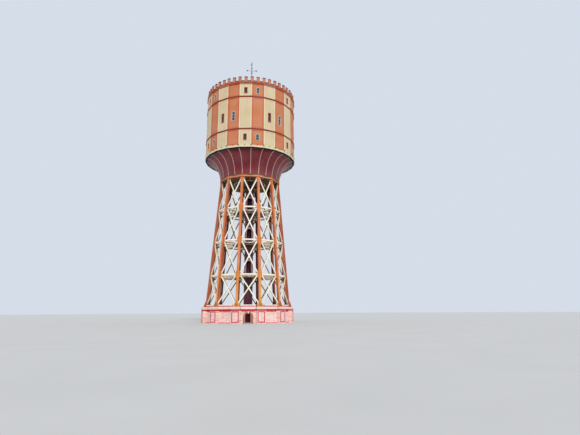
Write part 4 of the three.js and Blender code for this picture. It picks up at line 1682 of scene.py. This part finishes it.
@dataclass
class Skirt:
    """The flared skirt: maroon plates between pale ribs, rivets, a foot ring and a gutter."""

    foot: float = 2.26
    rim: float = 3.37
    rim_level: float = 12.1
    power: float = 1.1
    rib_half: float = 0.027
    rib_relief: float = 0.012
    rivet: float = 0.0075

    def curve(self, share: Array) -> Array:
        """The skirt's outline, nearly a quarter of an ellipse.

        The radius is foot + (rim - foot)(1 - cos t) and the level rises by sin t to the power.

        Args:
            share: how far up the curve, from 0 at the foot to 1 at the rim.

        Returns:
            Rows of the radius, the level, and the outward and upward shares of the normal.
        """
        fine = np.linspace(0, 1, 401)
        turn = fine * np.pi / 2
        radius = self.foot + (self.rim - self.foot) * (1 - np.cos(turn))
        level = SKIRT_LEVEL + (self.rim_level - SKIRT_LEVEL) * np.sin(turn) ** self.power
        normal = normalised(np.stack([np.gradient(level), -np.gradient(radius)], axis=1))
        return np.stack([np.interp(share, fine, row) for row in (radius, level, *normal.T)])

    def ribs(self) -> Skin:
        """A rib along each corner, bent over it.

        Returns:
            A section with bevelled edges, carried up the curve.
        """
        radius, level, outward, upward = self.curve(np.linspace(0.01, 0.995, 33))
        half, high = self.rib_half, self.rib_relief
        shape = [(-half, -0.01), (-half, high * 0.8), (-half * 0.7, high), (0.0, high),
                 (half * 0.7, high), (half, high * 0.8), (half, -0.01), (0.0, -0.02)]
        return swept(corner_wrap(radius, level, shape, FACET_COUNT, upward, outward)).around(CORNER_ANGLES)

    def heads(self) -> Skin:
        """Rivets beside the ribs and along two level seams.

        Returns:
            The heads of all the facets.
        """
        radius, level, outward, upward = self.curve(np.linspace(0.03, 0.97, 34))
        beside = self.rib_half + 0.022
        shape = [(-beside, 0.0), (beside, 0.0)]
        off = [(-beside, 1.0), (beside, 1.0)]
        places = corner_wrap(radius, level, shape, FACET_COUNT)
        tips = corner_wrap(radius, level, off, FACET_COUNT, upward, outward)
        skin = rivets(places, (tips - places).reshape(-1, 3), self.rivet)
        for share in (0.34, 0.67):
            radius, level, outward, upward = self.curve(share)
            flat = Facets(radius)
            first = np.zeros(9, int)
            half = flat.half - beside - 0.03
            normals = outward * flat.axes(first)[:, 1] + upward * UP
            skin.take(rivets(flat.place(first, np.linspace(-half, half, 9), 0.0, level), normals,
                             self.rivet))
        return skin.around(CORNER_ANGLES)

    def build(self) -> None:
        """Dresses the skirt, with painted shade along the gutter, and builds its ribs, rivets and rings."""
        aged = Weather(fade=0.45, streaks=0.3, grime=0.2, streak_colour=tint(74, 30, 44), streak_scale=9.0)
        # A darker band under the rim: painted shade of the gutter.
        dark = ((self.rim_level - 0.1, self.rim_level + 0.05, tint(98, 40, 50)),)
        maroon = Paint("skirt_paint", MAROON, aged, 0.4, 0.0004, 0.006, specular=0.3, bands=dark,
                       band_softness=0.06).material()
        dress(quarters("skirt"), maroon)
        self.heads().build("skirt_rivets", maroon, "skirt_paint")
        low, foot, rim, edge = SKIRT_LEVEL + 0.002, self.foot, self.rim, self.rim_level
        angle = [(foot - 0.01, low), (foot + 0.04, low), (foot + 0.04, low + 0.014),
                 (foot + 0.018, low + 0.022), (foot + 0.018, low + 0.075), (foot - 0.01, low + 0.08)]
        gutter = [(rim - 0.03, edge - 0.006), (rim + 0.03, edge - 0.012), (rim + 0.092, edge + 0.008),
                  (rim + 0.092, edge + 0.0385), (rim - 0.03, edge + 0.0385)]
        worn = Weather(0.4, 0.2, 0.3)
        for name, skin, colour, roughness in (
            ("skirt_ribs", self.ribs(), RIB_BEIGE, 0.5),
            ("skirt_foot_ring", turned(angle, FACET_COUNT), OLIVE_BROWN, 0.5),
            # The gutter is near black: painted shade under the rim.
            ("skirt_gutter", turned(gutter, FACET_COUNT), tint(30, 24, 28), 0.8),
        ):
            painted(name, skin, colour, "skirt_paint", worn, CRISP, roughness=roughness, specular=0.2)


@dataclass
class Drum:
    """The tank's wall: corner strips and rails with rivets, mouldings, rim beads and hooks."""

    strip_half: float = 0.095
    relief: float = 0.008
    rivet: float = 0.0075
    pitch: float = 0.085

    def __post_init__(self) -> None:
        """Lays out the stretches of wall from the rim to the cornice, between the mouldings."""
        edges = np.add.outer(MOULDING_LEVELS, [-MOULDING_HEIGHT / 2, MOULDING_HEIGHT / 2]).ravel()
        self.stretches = np.array([RIM_TOP, *edges, PARAPET_LEVEL - 0.001]).reshape(-1, 2)

    def frames(self) -> Skin:
        """A bent strip on each corner and a level rail along the top and foot of every panel.

        Returns:
            Their skin, in lengths between the mouldings.
        """
        half, thick = self.strip_half, self.relief
        inner = DRUM_WALLS.half - half
        shape = [(-half, LET_IN), (-half, thick), (0.0, thick), (half, thick), (half, LET_IN),
                 (0.0, -0.008)]
        skin = Skin()
        for span in self.stretches:
            low, high = span
            strip = swept(corner_wrap(DRUM_RADIUS, span, shape)).around(CORNER_ANGLES)
            skin.take(strip, *[DRUM_WALLS.blocks(FACETS, (-inner, inner), (LET_IN, thick), level)
                               for level in ((low, low + half), (high - half, high))])
        return skin

    def heads(self) -> Skin:
        """Two rows of rivets up each corner strip and one along each rail.

        Returns:
            The heads of all the facets.
        """
        skin = Skin()
        half, edge = DRUM_WALLS.half, self.strip_half
        rail = np.linspace(edge + 0.03 - half, half - edge - 0.03, int(2 * (half - edge) / self.pitch))
        beside = (half - 0.6 * edge) * np.array([-1, 1])
        for low, high in self.stretches:
            skin.take(
                DRUM_WALLS.rivet_rows(FACETS, rail, self.relief,
                                      np.array([low + edge / 2, high - edge / 2]), self.rivet),
                DRUM_WALLS.rivet_rows(FACETS, beside, self.relief,
                                      np.arange(low + 0.05, high - 0.03, self.pitch), self.rivet),
            )
        return skin

    def moulding(self, level: float) -> Skin:
        """A moulding round the drum: a nose of half an ellipse between two fillets.

        Args:
            level: its middle.

        Returns:
            Its skin.
        """
        turn = np.linspace(-np.pi / 2, np.pi / 2, 21)
        back, face = DRUM_RADIUS - 0.005, DRUM_RADIUS + 0.034
        nose = np.stack([face + 0.014 * np.cos(turn), level + 0.04 * np.sin(turn)], axis=1)
        return turned([(back, level - 0.053), (face, level - 0.051), (face, level - 0.045), *nose,
                       (face, level + 0.045), (face, level + 0.05), (back, level + 0.058)], FACET_COUNT)

    def hooks(self) -> Skin:
        """Hooks on the rim's top, a larger one at each corner and a smaller one between.

        Returns:
            Their skin.
        """
        low, high = RIM_TOP - 0.034, RIM_TOP + 0.046
        reach = DRUM_RADIUS + RIM_RELIEF
        small = Facets(reach).blocks(FACETS, (-0.026, 0.026), (-0.03, 0.018), (low + 0.012, high - 0.012))
        shape = [(-0.036, -0.03), (-0.036, 0.022), (0.0, 0.03), (0.036, 0.022), (0.036, -0.03),
                 (0.0, -0.04)]
        large = swept(corner_wrap(reach, np.array([low, high]), shape))
        return small.take(large.around(CORNER_ANGLES))

    def build(self) -> None:
        """Dresses the wall's quarters and builds the trim; frames and rivets share its paint."""
        chalky = Weather(fade=0.3, streaks=0.12, grime=0.45, streak_colour=tint(150, 104, 76),
                         streak_scale=5.0)
        panels = PanelPaint("drum_paint", CREAM, chalky, 0.6, 0.0006, 0.006).material()
        dress(quarters("tank_wall"), panels)
        self.frames().build("drum_panel_frames", panels, "drum_paint")
        self.heads().build("drum_rivets", panels, "drum_paint")
        reach = DRUM_RADIUS + RIM_RELIEF
        lines = [hoop((DRUM_RADIUS - 0.005, DRUM_RADIUS + 0.02), (level - 0.078, level - 0.053))
                 for level in MOULDING_LEVELS]
        beads = [hoop((reach - 0.006, reach + 0.01), (level - 0.01, level + 0.01))
                 for level in (RIM_TOP - 0.008, DRUM_LEVEL + 0.012)]
        for name, skin, colour in (
            ("drum_mouldings", Skin().take(*map(self.moulding, MOULDING_LEVELS)), MOULDING_RED),
            ("drum_moulding_lines", Skin().take(*lines), MOULDING_ORANGE),
            ("drum_rim_beads", Skin().take(*beads), PALE_CREAM),
            ("drum_rim_hooks", self.hooks(), tint(60, 70, 60)),
        ):
            painted(name, skin, colour, "drum_paint", Weather(0.4, 0.15, 0.4), CRISP, roughness=0.55)


class Row(Enum):
    """The rows of windows: centre level, opening height, which pair of facets, how many panes."""

    BOTTOM = (12.9, 0.43, 0, 2)
    MIDDLE = (14.5675, 0.68, 1, 3)
    TOP = (16.55, 0.43, 0, 2)

    def facets(self, orange: bool) -> Array:
        """The facets with this row's windows, in pairs by turns: orange ones are even, cream odd."""
        paired = ((FACETS + 1) % 4) // 2 == self.value[2]
        return FACETS[paired & (FACETS % 2 == (0 if orange else 1))]


@dataclass
class Windows:
    """The drum's windows: borders and sills, sashes with transoms, and panes."""

    width: float = 0.22
    edge: float = 0.014
    proud: float = 0.014
    sash: float = 0.015
    bar: float = 0.014
    pane_depth: float = -0.05

    def surrounds(self, row: Row, facets: Array) -> Skin:
        """A flat border round each opening, a sill under it and a drip mould over it.

        Args:
            row: the row.
            facets: the facets to build it on.

        Returns:
            Their skin.
        """
        centre, height = row.value[:2]
        half, high = self.width / 2 + self.edge, height / 2 + self.edge
        low, top = centre - high, centre + high
        return Skin().take(
            DRUM_WALLS.border(facets, (-half, half), (low, top), self.edge, (LET_IN, self.proud)),
            DRUM_WALLS.blocks(facets, (-half - 0.008, half + 0.008), (LET_IN, 0.03), (low - 0.016, low)),
            DRUM_WALLS.blocks(facets, (-half - 0.004, half + 0.004), (LET_IN, 0.024), (top, top + 0.01)),
        )

    def sashes(self, row: Row, facets: Array) -> Skin:
        """The frame inside each opening and its transoms.

        Args:
            row: the row.
            facets: the facets to build it on.

        Returns:
            Their skin.
        """
        centre, height, _, panes = row.value
        half, high, bar = self.width / 2 + 0.001, height / 2 + 0.001, self.bar / 2
        out = (self.pane_depth - 0.004, self.pane_depth + 0.026)
        levels = centre + height * (np.arange(1, panes) / panes - 0.5)
        border = DRUM_WALLS.border(facets, (-half, half), (centre - high, centre + high), self.sash, out)
        return border.take(*[
            DRUM_WALLS.blocks(facets, (-half, half), (out[0], out[1] - 0.004), (level - bar, level + bar))
            for level in levels
        ])

    def panes(self, row: Row) -> Skin:
        """The sheets of glass of one row, each a thin closed sheet behind its frame.

        Args:
            row: the row.

        Returns:
            Their skin.
        """
        centre, half, high = row.value[0], self.width / 2 + 0.001, row.value[1] / 2 + 0.001
        facets = np.concatenate([row.facets(True), row.facets(False)])
        return DRUM_WALLS.blocks(facets, (-half, half), (self.pane_depth - 0.006, self.pane_depth),
                                 (centre - high, centre + high))

    def build(self) -> None:
        """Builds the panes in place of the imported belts, and frames that are pale or red by panel."""
        worn = Weather(fade=0.3, streaks=0.2, grime=0.35)
        glass = Glass("pane_glass").material()
        for row in Row:
            name = row.name.lower()
            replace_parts(self.panes(row).build(f"panes_{name}", glass, "window_glass"),
                        f"window_glass_{name}")
        for name, orange, border, sash in (
            ("pale", True, tint(218, 226, 216), tint(196, 212, 210)),
            ("red", False, tint(222, 118, 76), tint(140, 62, 50)),
        ):
            for piece, make, colour in (("borders", self.surrounds, border), ("sashes", self.sashes, sash)):
                skin = Skin().take(*[make(row, row.facets(orange)) for row in Row])
                painted(f"window_{piece}_{name}", skin, colour, "drum_paint", worn)


@dataclass
class Parapet:
    """The cornice and the merlons: an ogee, caps that overhang, and borders on the faces."""

    mid_half: float = 0.095
    corner_half: float = 0.097
    wall: float = 0.06
    jamb: float = 0.014
    face: float = 0.02
    overhang: float = 0.025
    cap: Span = (MERLON_LEVEL - 0.05, MERLON_LEVEL + 0.012)

    def cornice(self) -> Skin:
        """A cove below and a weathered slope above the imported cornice.

        Returns:
            The moulding's skin.
        """
        turn = np.linspace(0, np.pi / 2, 12)
        cove = np.stack([0.055 * (1 - np.cos(turn)), 0.07 * np.sin(turn) - 0.07], axis=1)
        shape = [(-0.01, -0.075), *cove, (0.066, 0.004), (0.066, 0.058), (0.052, 0.07), (0.02, 0.1),
                 (0.01, 0.13), (-0.01, 0.13)]
        return turned(np.array(shape) + [DRUM_RADIUS, PARAPET_LEVEL], FACET_COUNT)

    def caps(self) -> Skin:
        """A cap on every merlon, bent on the corners.

        Returns:
            The caps' skin.
        """
        over = self.overhang
        back = -self.wall - 0.016
        flat = DRUM_WALLS.blocks(FACETS, (-self.mid_half - over, self.mid_half + over), (back, 0.016),
                                 self.cap)
        reach = self.corner_half + over
        shape = [(-reach, 0.016), (0.0, 0.016), (reach, 0.016), (reach, back), (0.0, back), (-reach, back)]
        bent = swept(corner_wrap(DRUM_RADIUS, np.array(self.cap), shape))
        return flat.take(bent.around(CORNER_ANGLES))

    def borders(self) -> Skin:
        """Strips up both sides of each merlon, bent round its edge from the face to the back.

        Returns:
            The strips' skin.
        """
        inner, mid = DRUM_WALLS.half - self.corner_half, self.mid_half
        lap, face = self.jamb, self.face
        levels = (SILL_LEVEL - 0.004, self.cap[0] + 0.004)
        return Skin().take(*[
            DRUM_WALLS.blocks(FACETS, span, (-self.wall - 0.004, 0.007), levels)
            for span in ((-mid - lap, face - mid), (mid - face, mid + lap),
                         (inner - lap, inner + face), (-inner - face, lap - inner))
        ])

    def flashings(self) -> Skin:
        """A sheet of lead on the foot of every crenel, lapped down over the wall's face.

        Returns:
            The sheets' skin, two to a facet.
        """
        low, high = self.mid_half + self.jamb, DRUM_WALLS.half - self.corner_half - self.jamb
        levels = (SILL_LEVEL - 0.042, SILL_LEVEL + 0.008)
        return Skin().take(*[
            DRUM_WALLS.blocks(FACETS, span, (-self.wall - 0.012, 0.018), levels)
            for span in ((low, high), (-high, -low))
        ])

    def build(self) -> None:
        """Dresses the parapet, with a band under its crenels, and builds its trim, mottled on top."""
        lichen = Weather(fade=0.4, streaks=0.25, grime=0.9, grime_colour=LICHEN, streak_scale=6.0)
        mottled = Weather(fade=0.8, streaks=0.4, grime=0.9, grime_colour=LICHEN, streak_colour=LICHEN)
        band = ((PARAPET_LEVEL - 0.1, SILL_LEVEL - 0.03, CORNICE_ORANGE),)
        salmon = Paint("parapet_paint", SALMON, lichen, 0.62, 0.0015, 0.006, bands=band).material()
        dress(quarters("parapet"), salmon)
        # A dark line just under the cornice's cove: painted shadow.
        line = hoop((DRUM_RADIUS - 0.005, DRUM_RADIUS + 0.018),
                    (PARAPET_LEVEL - 0.108, PARAPET_LEVEL - 0.072))
        for name, skin, colour, weather in (
            ("parapet_cornice", self.cornice(), CORNICE_ORANGE, lichen),
            ("parapet_shadow_line", line, tint(112, 42, 32), lichen),
            ("parapet_flashings", self.flashings(), LEAD, mottled),
            ("merlon_caps", self.caps(), tint(128, 88, 74), mottled),
            ("merlon_borders", self.borders(), tint(178, 88, 54), lichen),
        ):
            painted(name, skin, colour, "parapet_paint", weather, CRISP, roughness=0.6, grain=0.001)


@dataclass
class Roof:
    """The low roof behind the parapet: standing seams and a collar round the mast."""

    apex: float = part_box("roof")[1].z
    eaves_radius: float = 3.36
    eaves_level: float = 17.16
    seam_start: float = 0.3

    def seams(self) -> Skin:
        """Folded seams from the collar to the eaves, two to a facet.

        Returns:
            The seams' skin, each a bar along the roof's slope.
        """
        skin = Skin()
        for angles, eaves in ((CORNER_ANGLES, self.eaves_radius),
                              (CORNER_ANGLES + FACET / 2,
                               self.eaves_radius * np.cos(np.radians(FACET / 2)))):
            high = self.apex + (self.eaves_level - self.apex) * self.seam_start / eaves
            skin.take(bars(polar(self.seam_start, angles, high + 0.012),
                           polar(eaves - 0.02, angles, self.eaves_level + 0.016), UP, 0.014, 0.036))
        return skin

    def build(self) -> None:
        """Dresses the roof and builds its seams, and a low cone that laps over their tops."""
        worn = Weather(fade=0.7, streaks=0.3, grime=0.35, grime_colour=tint(90, 84, 76))
        grey = Paint("roof_paint", tint(150, 142, 132), worn, 0.75, 0.0008, 0.01, 0.7,
                     specular=0.15).material()
        dress(["roof"], grey)
        top = self.apex
        collar = turned([(0.05, top - 0.05), (0.36, top - 0.13), (0.37, top - 0.1),
                         (0.2, top - 0.03), (0.1, top + 0.02), (0.05, top + 0.03)], 48)
        self.seams().build("roof_seams", grey, "roof_paint")
        collar.build("roof_collar", grey, "roof_paint", smooth=50)


@dataclass
class Vane:
    """The mast with its compass arms, and the vane that turns on its head."""

    foot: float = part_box("mast")[0].z
    head: float = 20.8328
    pole: float = 0.018
    arms_level: float = 20.265
    reach: float = 0.36
    knob: float = 0.054
    bearing: float = 16.0
    arrow: float = 0.24

    @staticmethod
    def ball(centre: Array, radius: float) -> Skin:
        """A sphere: rings of points at latitudes, with a pole at each end.

        Args:
            centre: its centre.
            radius: its radius.

        Returns:
            The ball's skin.
        """
        latitude = np.linspace(-np.pi / 2, np.pi / 2, 13)[:, None]
        longitude = np.linspace(0, 360, 20, endpoint=False)
        points = polar(np.cos(latitude), longitude, np.sin(latitude))
        return Skin().add(centre + radius * points, wrap_faces(len(latitude), len(longitude)))

    @staticmethod
    def rod(start: Array, end: Array, radius: float, sides: int = 12) -> Skin:
        """A round rod between two points.

        Args:
            start: its first end.
            end: its other end.
            radius: its radius.
            sides: how many sides it has.

        Returns:
            The rod's skin.
        """
        along = normalised(end - start)
        side = normalised(np.cross(along, [0.3, 0.2, 0.9]))
        turn = np.linspace(0, 2 * np.pi, sides, endpoint=False)[:, None]
        ring = radius * (np.cos(turn) * side + np.sin(turn) * np.cross(along, side))
        return swept(np.stack([start + ring, end + ring]))

    def mast(self) -> Skin:
        """The pole with turned rings, and the compass arms with balls and stays.

        Returns:
            Its skin.
        """
        foot, head, arms, pole = self.foot, self.head, self.arms_level, self.pole
        outline = [(0.0, foot), (0.045, foot), (0.045, foot + 0.06), (0.034, foot + 0.08),
                   (pole, foot + 0.13), (pole, arms - 0.15), (0.03, arms - 0.13),
                   (0.03, arms - 0.11), (pole, arms - 0.09), (pole, head - 0.12),
                   (0.026, head - 0.1), (0.026, head - 0.07), (0.018, head - 0.04), (0.018, head),
                   (0.008, head), (0.008, head + 0.085), (0.0, head + 0.085)]
        skin = turned(outline, 24).take(self.ball(arms * UP, 0.034))
        for angle in (0, 90, 180, 270):
            tip = polar(self.reach, angle, arms)
            skin.take(self.rod(polar(0.012, angle, arms), tip, 0.008), self.ball(tip, self.knob),
                      self.rod(polar(0.014, angle, arms - 0.12), polar(0.16, angle, arms), 0.005, 8))
        return skin

    def vane(self) -> Skin:
        """A sleeve over the pin, and an arrow head and a forked tail on a level rod.

        Returns:
            Its skin.
        """
        low = self.head + 0.0003
        high = low + 0.165
        sleeve = [(0.011, low), (0.03, low), (0.03, low + 0.02), (0.022, low + 0.04),
                  (0.022, high - 0.04), (0.03, high - 0.02), (0.018, high), (0.0, high),
                  (0.0, high - 0.06), (0.011, high - 0.06)]
        along = polar(1.0, self.bearing, 0.0)
        middle = (low + high) / 2 * UP
        tip = self.arrow
        head = np.array([[tip, 0.0], [tip - 0.1, 0.05], [tip - 0.075, 0.0], [tip - 0.1, -0.05]])
        fork = np.array([[-tip, 0.085], [-tip + 0.13, 0.0425], [-tip + 0.13, -0.0425], [-tip, -0.085],
                         [-tip + 0.05, 0.0]])
        return turned(sleeve, 24).take(
            self.rod(middle + 0.02 * along, middle + (tip - 0.06) * along, 0.009),
            self.rod(middle - 0.02 * along, middle - (tip - 0.1) * along, 0.009),
            slab(head, middle, along, UP, PLATE),
            slab(fork, middle, along, UP, PLATE),
        )

    def build(self) -> None:
        """Builds the mast, which stands still, and the vane, which turns, in place of their solids."""
        iron = Iron("vane_iron").material()
        for name, skin, node, body in (("mast_and_compass_arms", self.mast(), "mast", "tower"),
                                       ("wind_vane", self.vane(), "vane", "vane")):
            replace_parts(skin.build(name, iron, "vane_iron", body, smooth=40, weld=True), node)


@dataclass(frozen=True)
class Viewpoint:
    """The photograph's viewpoint, scaled to the model: angles in degrees, focal in pixels."""

    distance: float = 31.1
    bearing: float = -0.6
    eye: float = 0.788
    swing: float = 5.73
    pitch: float = 12.71
    roll: float = 0.30
    focal: float = 415.1
    frame_width: float = 580.0
    sensor: float = 36.0

    def camera(self) -> bpy.types.Object:
        """Makes the camera, whose axes are its right, its top and its back.

        Returns:
            The camera; its right and top are the level ones turned by the roll.
        """
        lens = bpy.data.cameras.new("camera")
        lens.sensor_width = self.sensor
        lens.lens = self.focal * self.sensor / self.frame_width
        lens.clip_end = 500
        heading = np.radians(self.swing - self.bearing)
        tilt, roll = np.radians(self.pitch), np.radians(self.roll)
        ahead = np.array([np.sin(heading) * np.cos(tilt), np.cos(heading) * np.cos(tilt), np.sin(tilt)])
        level = np.array([np.cos(heading), -np.sin(heading), 0.0])
        upright = np.cross(level, ahead)
        axes = [np.cos(roll) * level - np.sin(roll) * upright,
                np.sin(roll) * level + np.cos(roll) * upright, -ahead]
        place = Matrix(np.stack(axes, axis=1).tolist()).to_4x4()
        place.translation = Vector(polar(self.distance, self.bearing, self.eye))
        made = bpy.data.objects.new("camera", lens)
        made.matrix_world = place
        return made


@dataclass(frozen=True)
class Studio:
    """The pale floor, the sky-like fill and one large soft key light."""

    floor_radius: float = 160.0
    key_energy: float = 1.55
    key_softness: float = 14.0
    key_bearing: float = 8.0
    key_height: float = 44.0
    fill: float = 0.88

    def floor(self) -> None:
        """A round pale floor with faint patches of tone, which belongs to the studio."""
        disc = bpy.data.meshes.new("studio_floor")
        points = polar(self.floor_radius, np.arange(0, 360, 3.75), 0.0)
        disc.from_pydata(points.tolist(), [], [list(range(len(points)))])
        canvas = Canvas("studio_floor")
        tone = canvas.blend(canvas.noise(0.6, 3), tint(196, 195, 192), tint(206, 205, 202))
        disc.materials.append(canvas.finish(tone, 0.8, canvas.relief(canvas.noise(40, 3), 0.0005)))
        piece = bpy.data.objects.new("studio_floor", disc)
        bpy.context.scene.collection.objects.link(piece)

    def lights(self) -> None:
        """A warm key light with a wide disc, from the right of the front, and an even pale surround."""
        key = bpy.data.lights.new("key", "SUN")
        key.energy = self.key_energy
        key.angle = np.radians(self.key_softness)
        key.color = (1.0, 0.95, 0.87)
        lamp = bpy.data.objects.new("key", key)
        height = np.radians(self.key_height)
        towards = Vector(polar(np.cos(height), self.key_bearing, np.sin(height)))
        lamp.rotation_mode = "QUATERNION"
        lamp.rotation_quaternion = towards.to_track_quat("Z", "Y")
        bpy.context.scene.collection.objects.link(lamp)
        world = bpy.data.worlds.new("studio")
        world.use_nodes = True
        background = world.node_tree.nodes["Background"]
        background.inputs["Color"].default_value = (*tint(226, 234, 246), 1.0)
        background.inputs["Strength"].default_value = self.fill
        bpy.context.scene.world = world

    def build(self) -> None:
        """Makes the floor, the lights and the camera, with no film curve over the colours."""
        self.floor()
        self.lights()
        camera = Viewpoint().camera()
        bpy.context.scene.collection.objects.link(camera)
        bpy.context.scene.camera = camera
        bpy.context.scene.view_settings.view_transform = "Standard"


def main() -> None:
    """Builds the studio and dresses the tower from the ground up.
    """
    logging.basicConfig(level=logging.INFO, format="%(name)s: %(message)s")
    Studio().build()
    for part in (Plinth(), Legs(), Bracing(), Landings(), Shaft(), TankBottom(), Skirt(), Drum(),
                 Windows(), Parapet(), Roof(), Vane()):
        part.build()


if __name__ == "__main__":
    main()
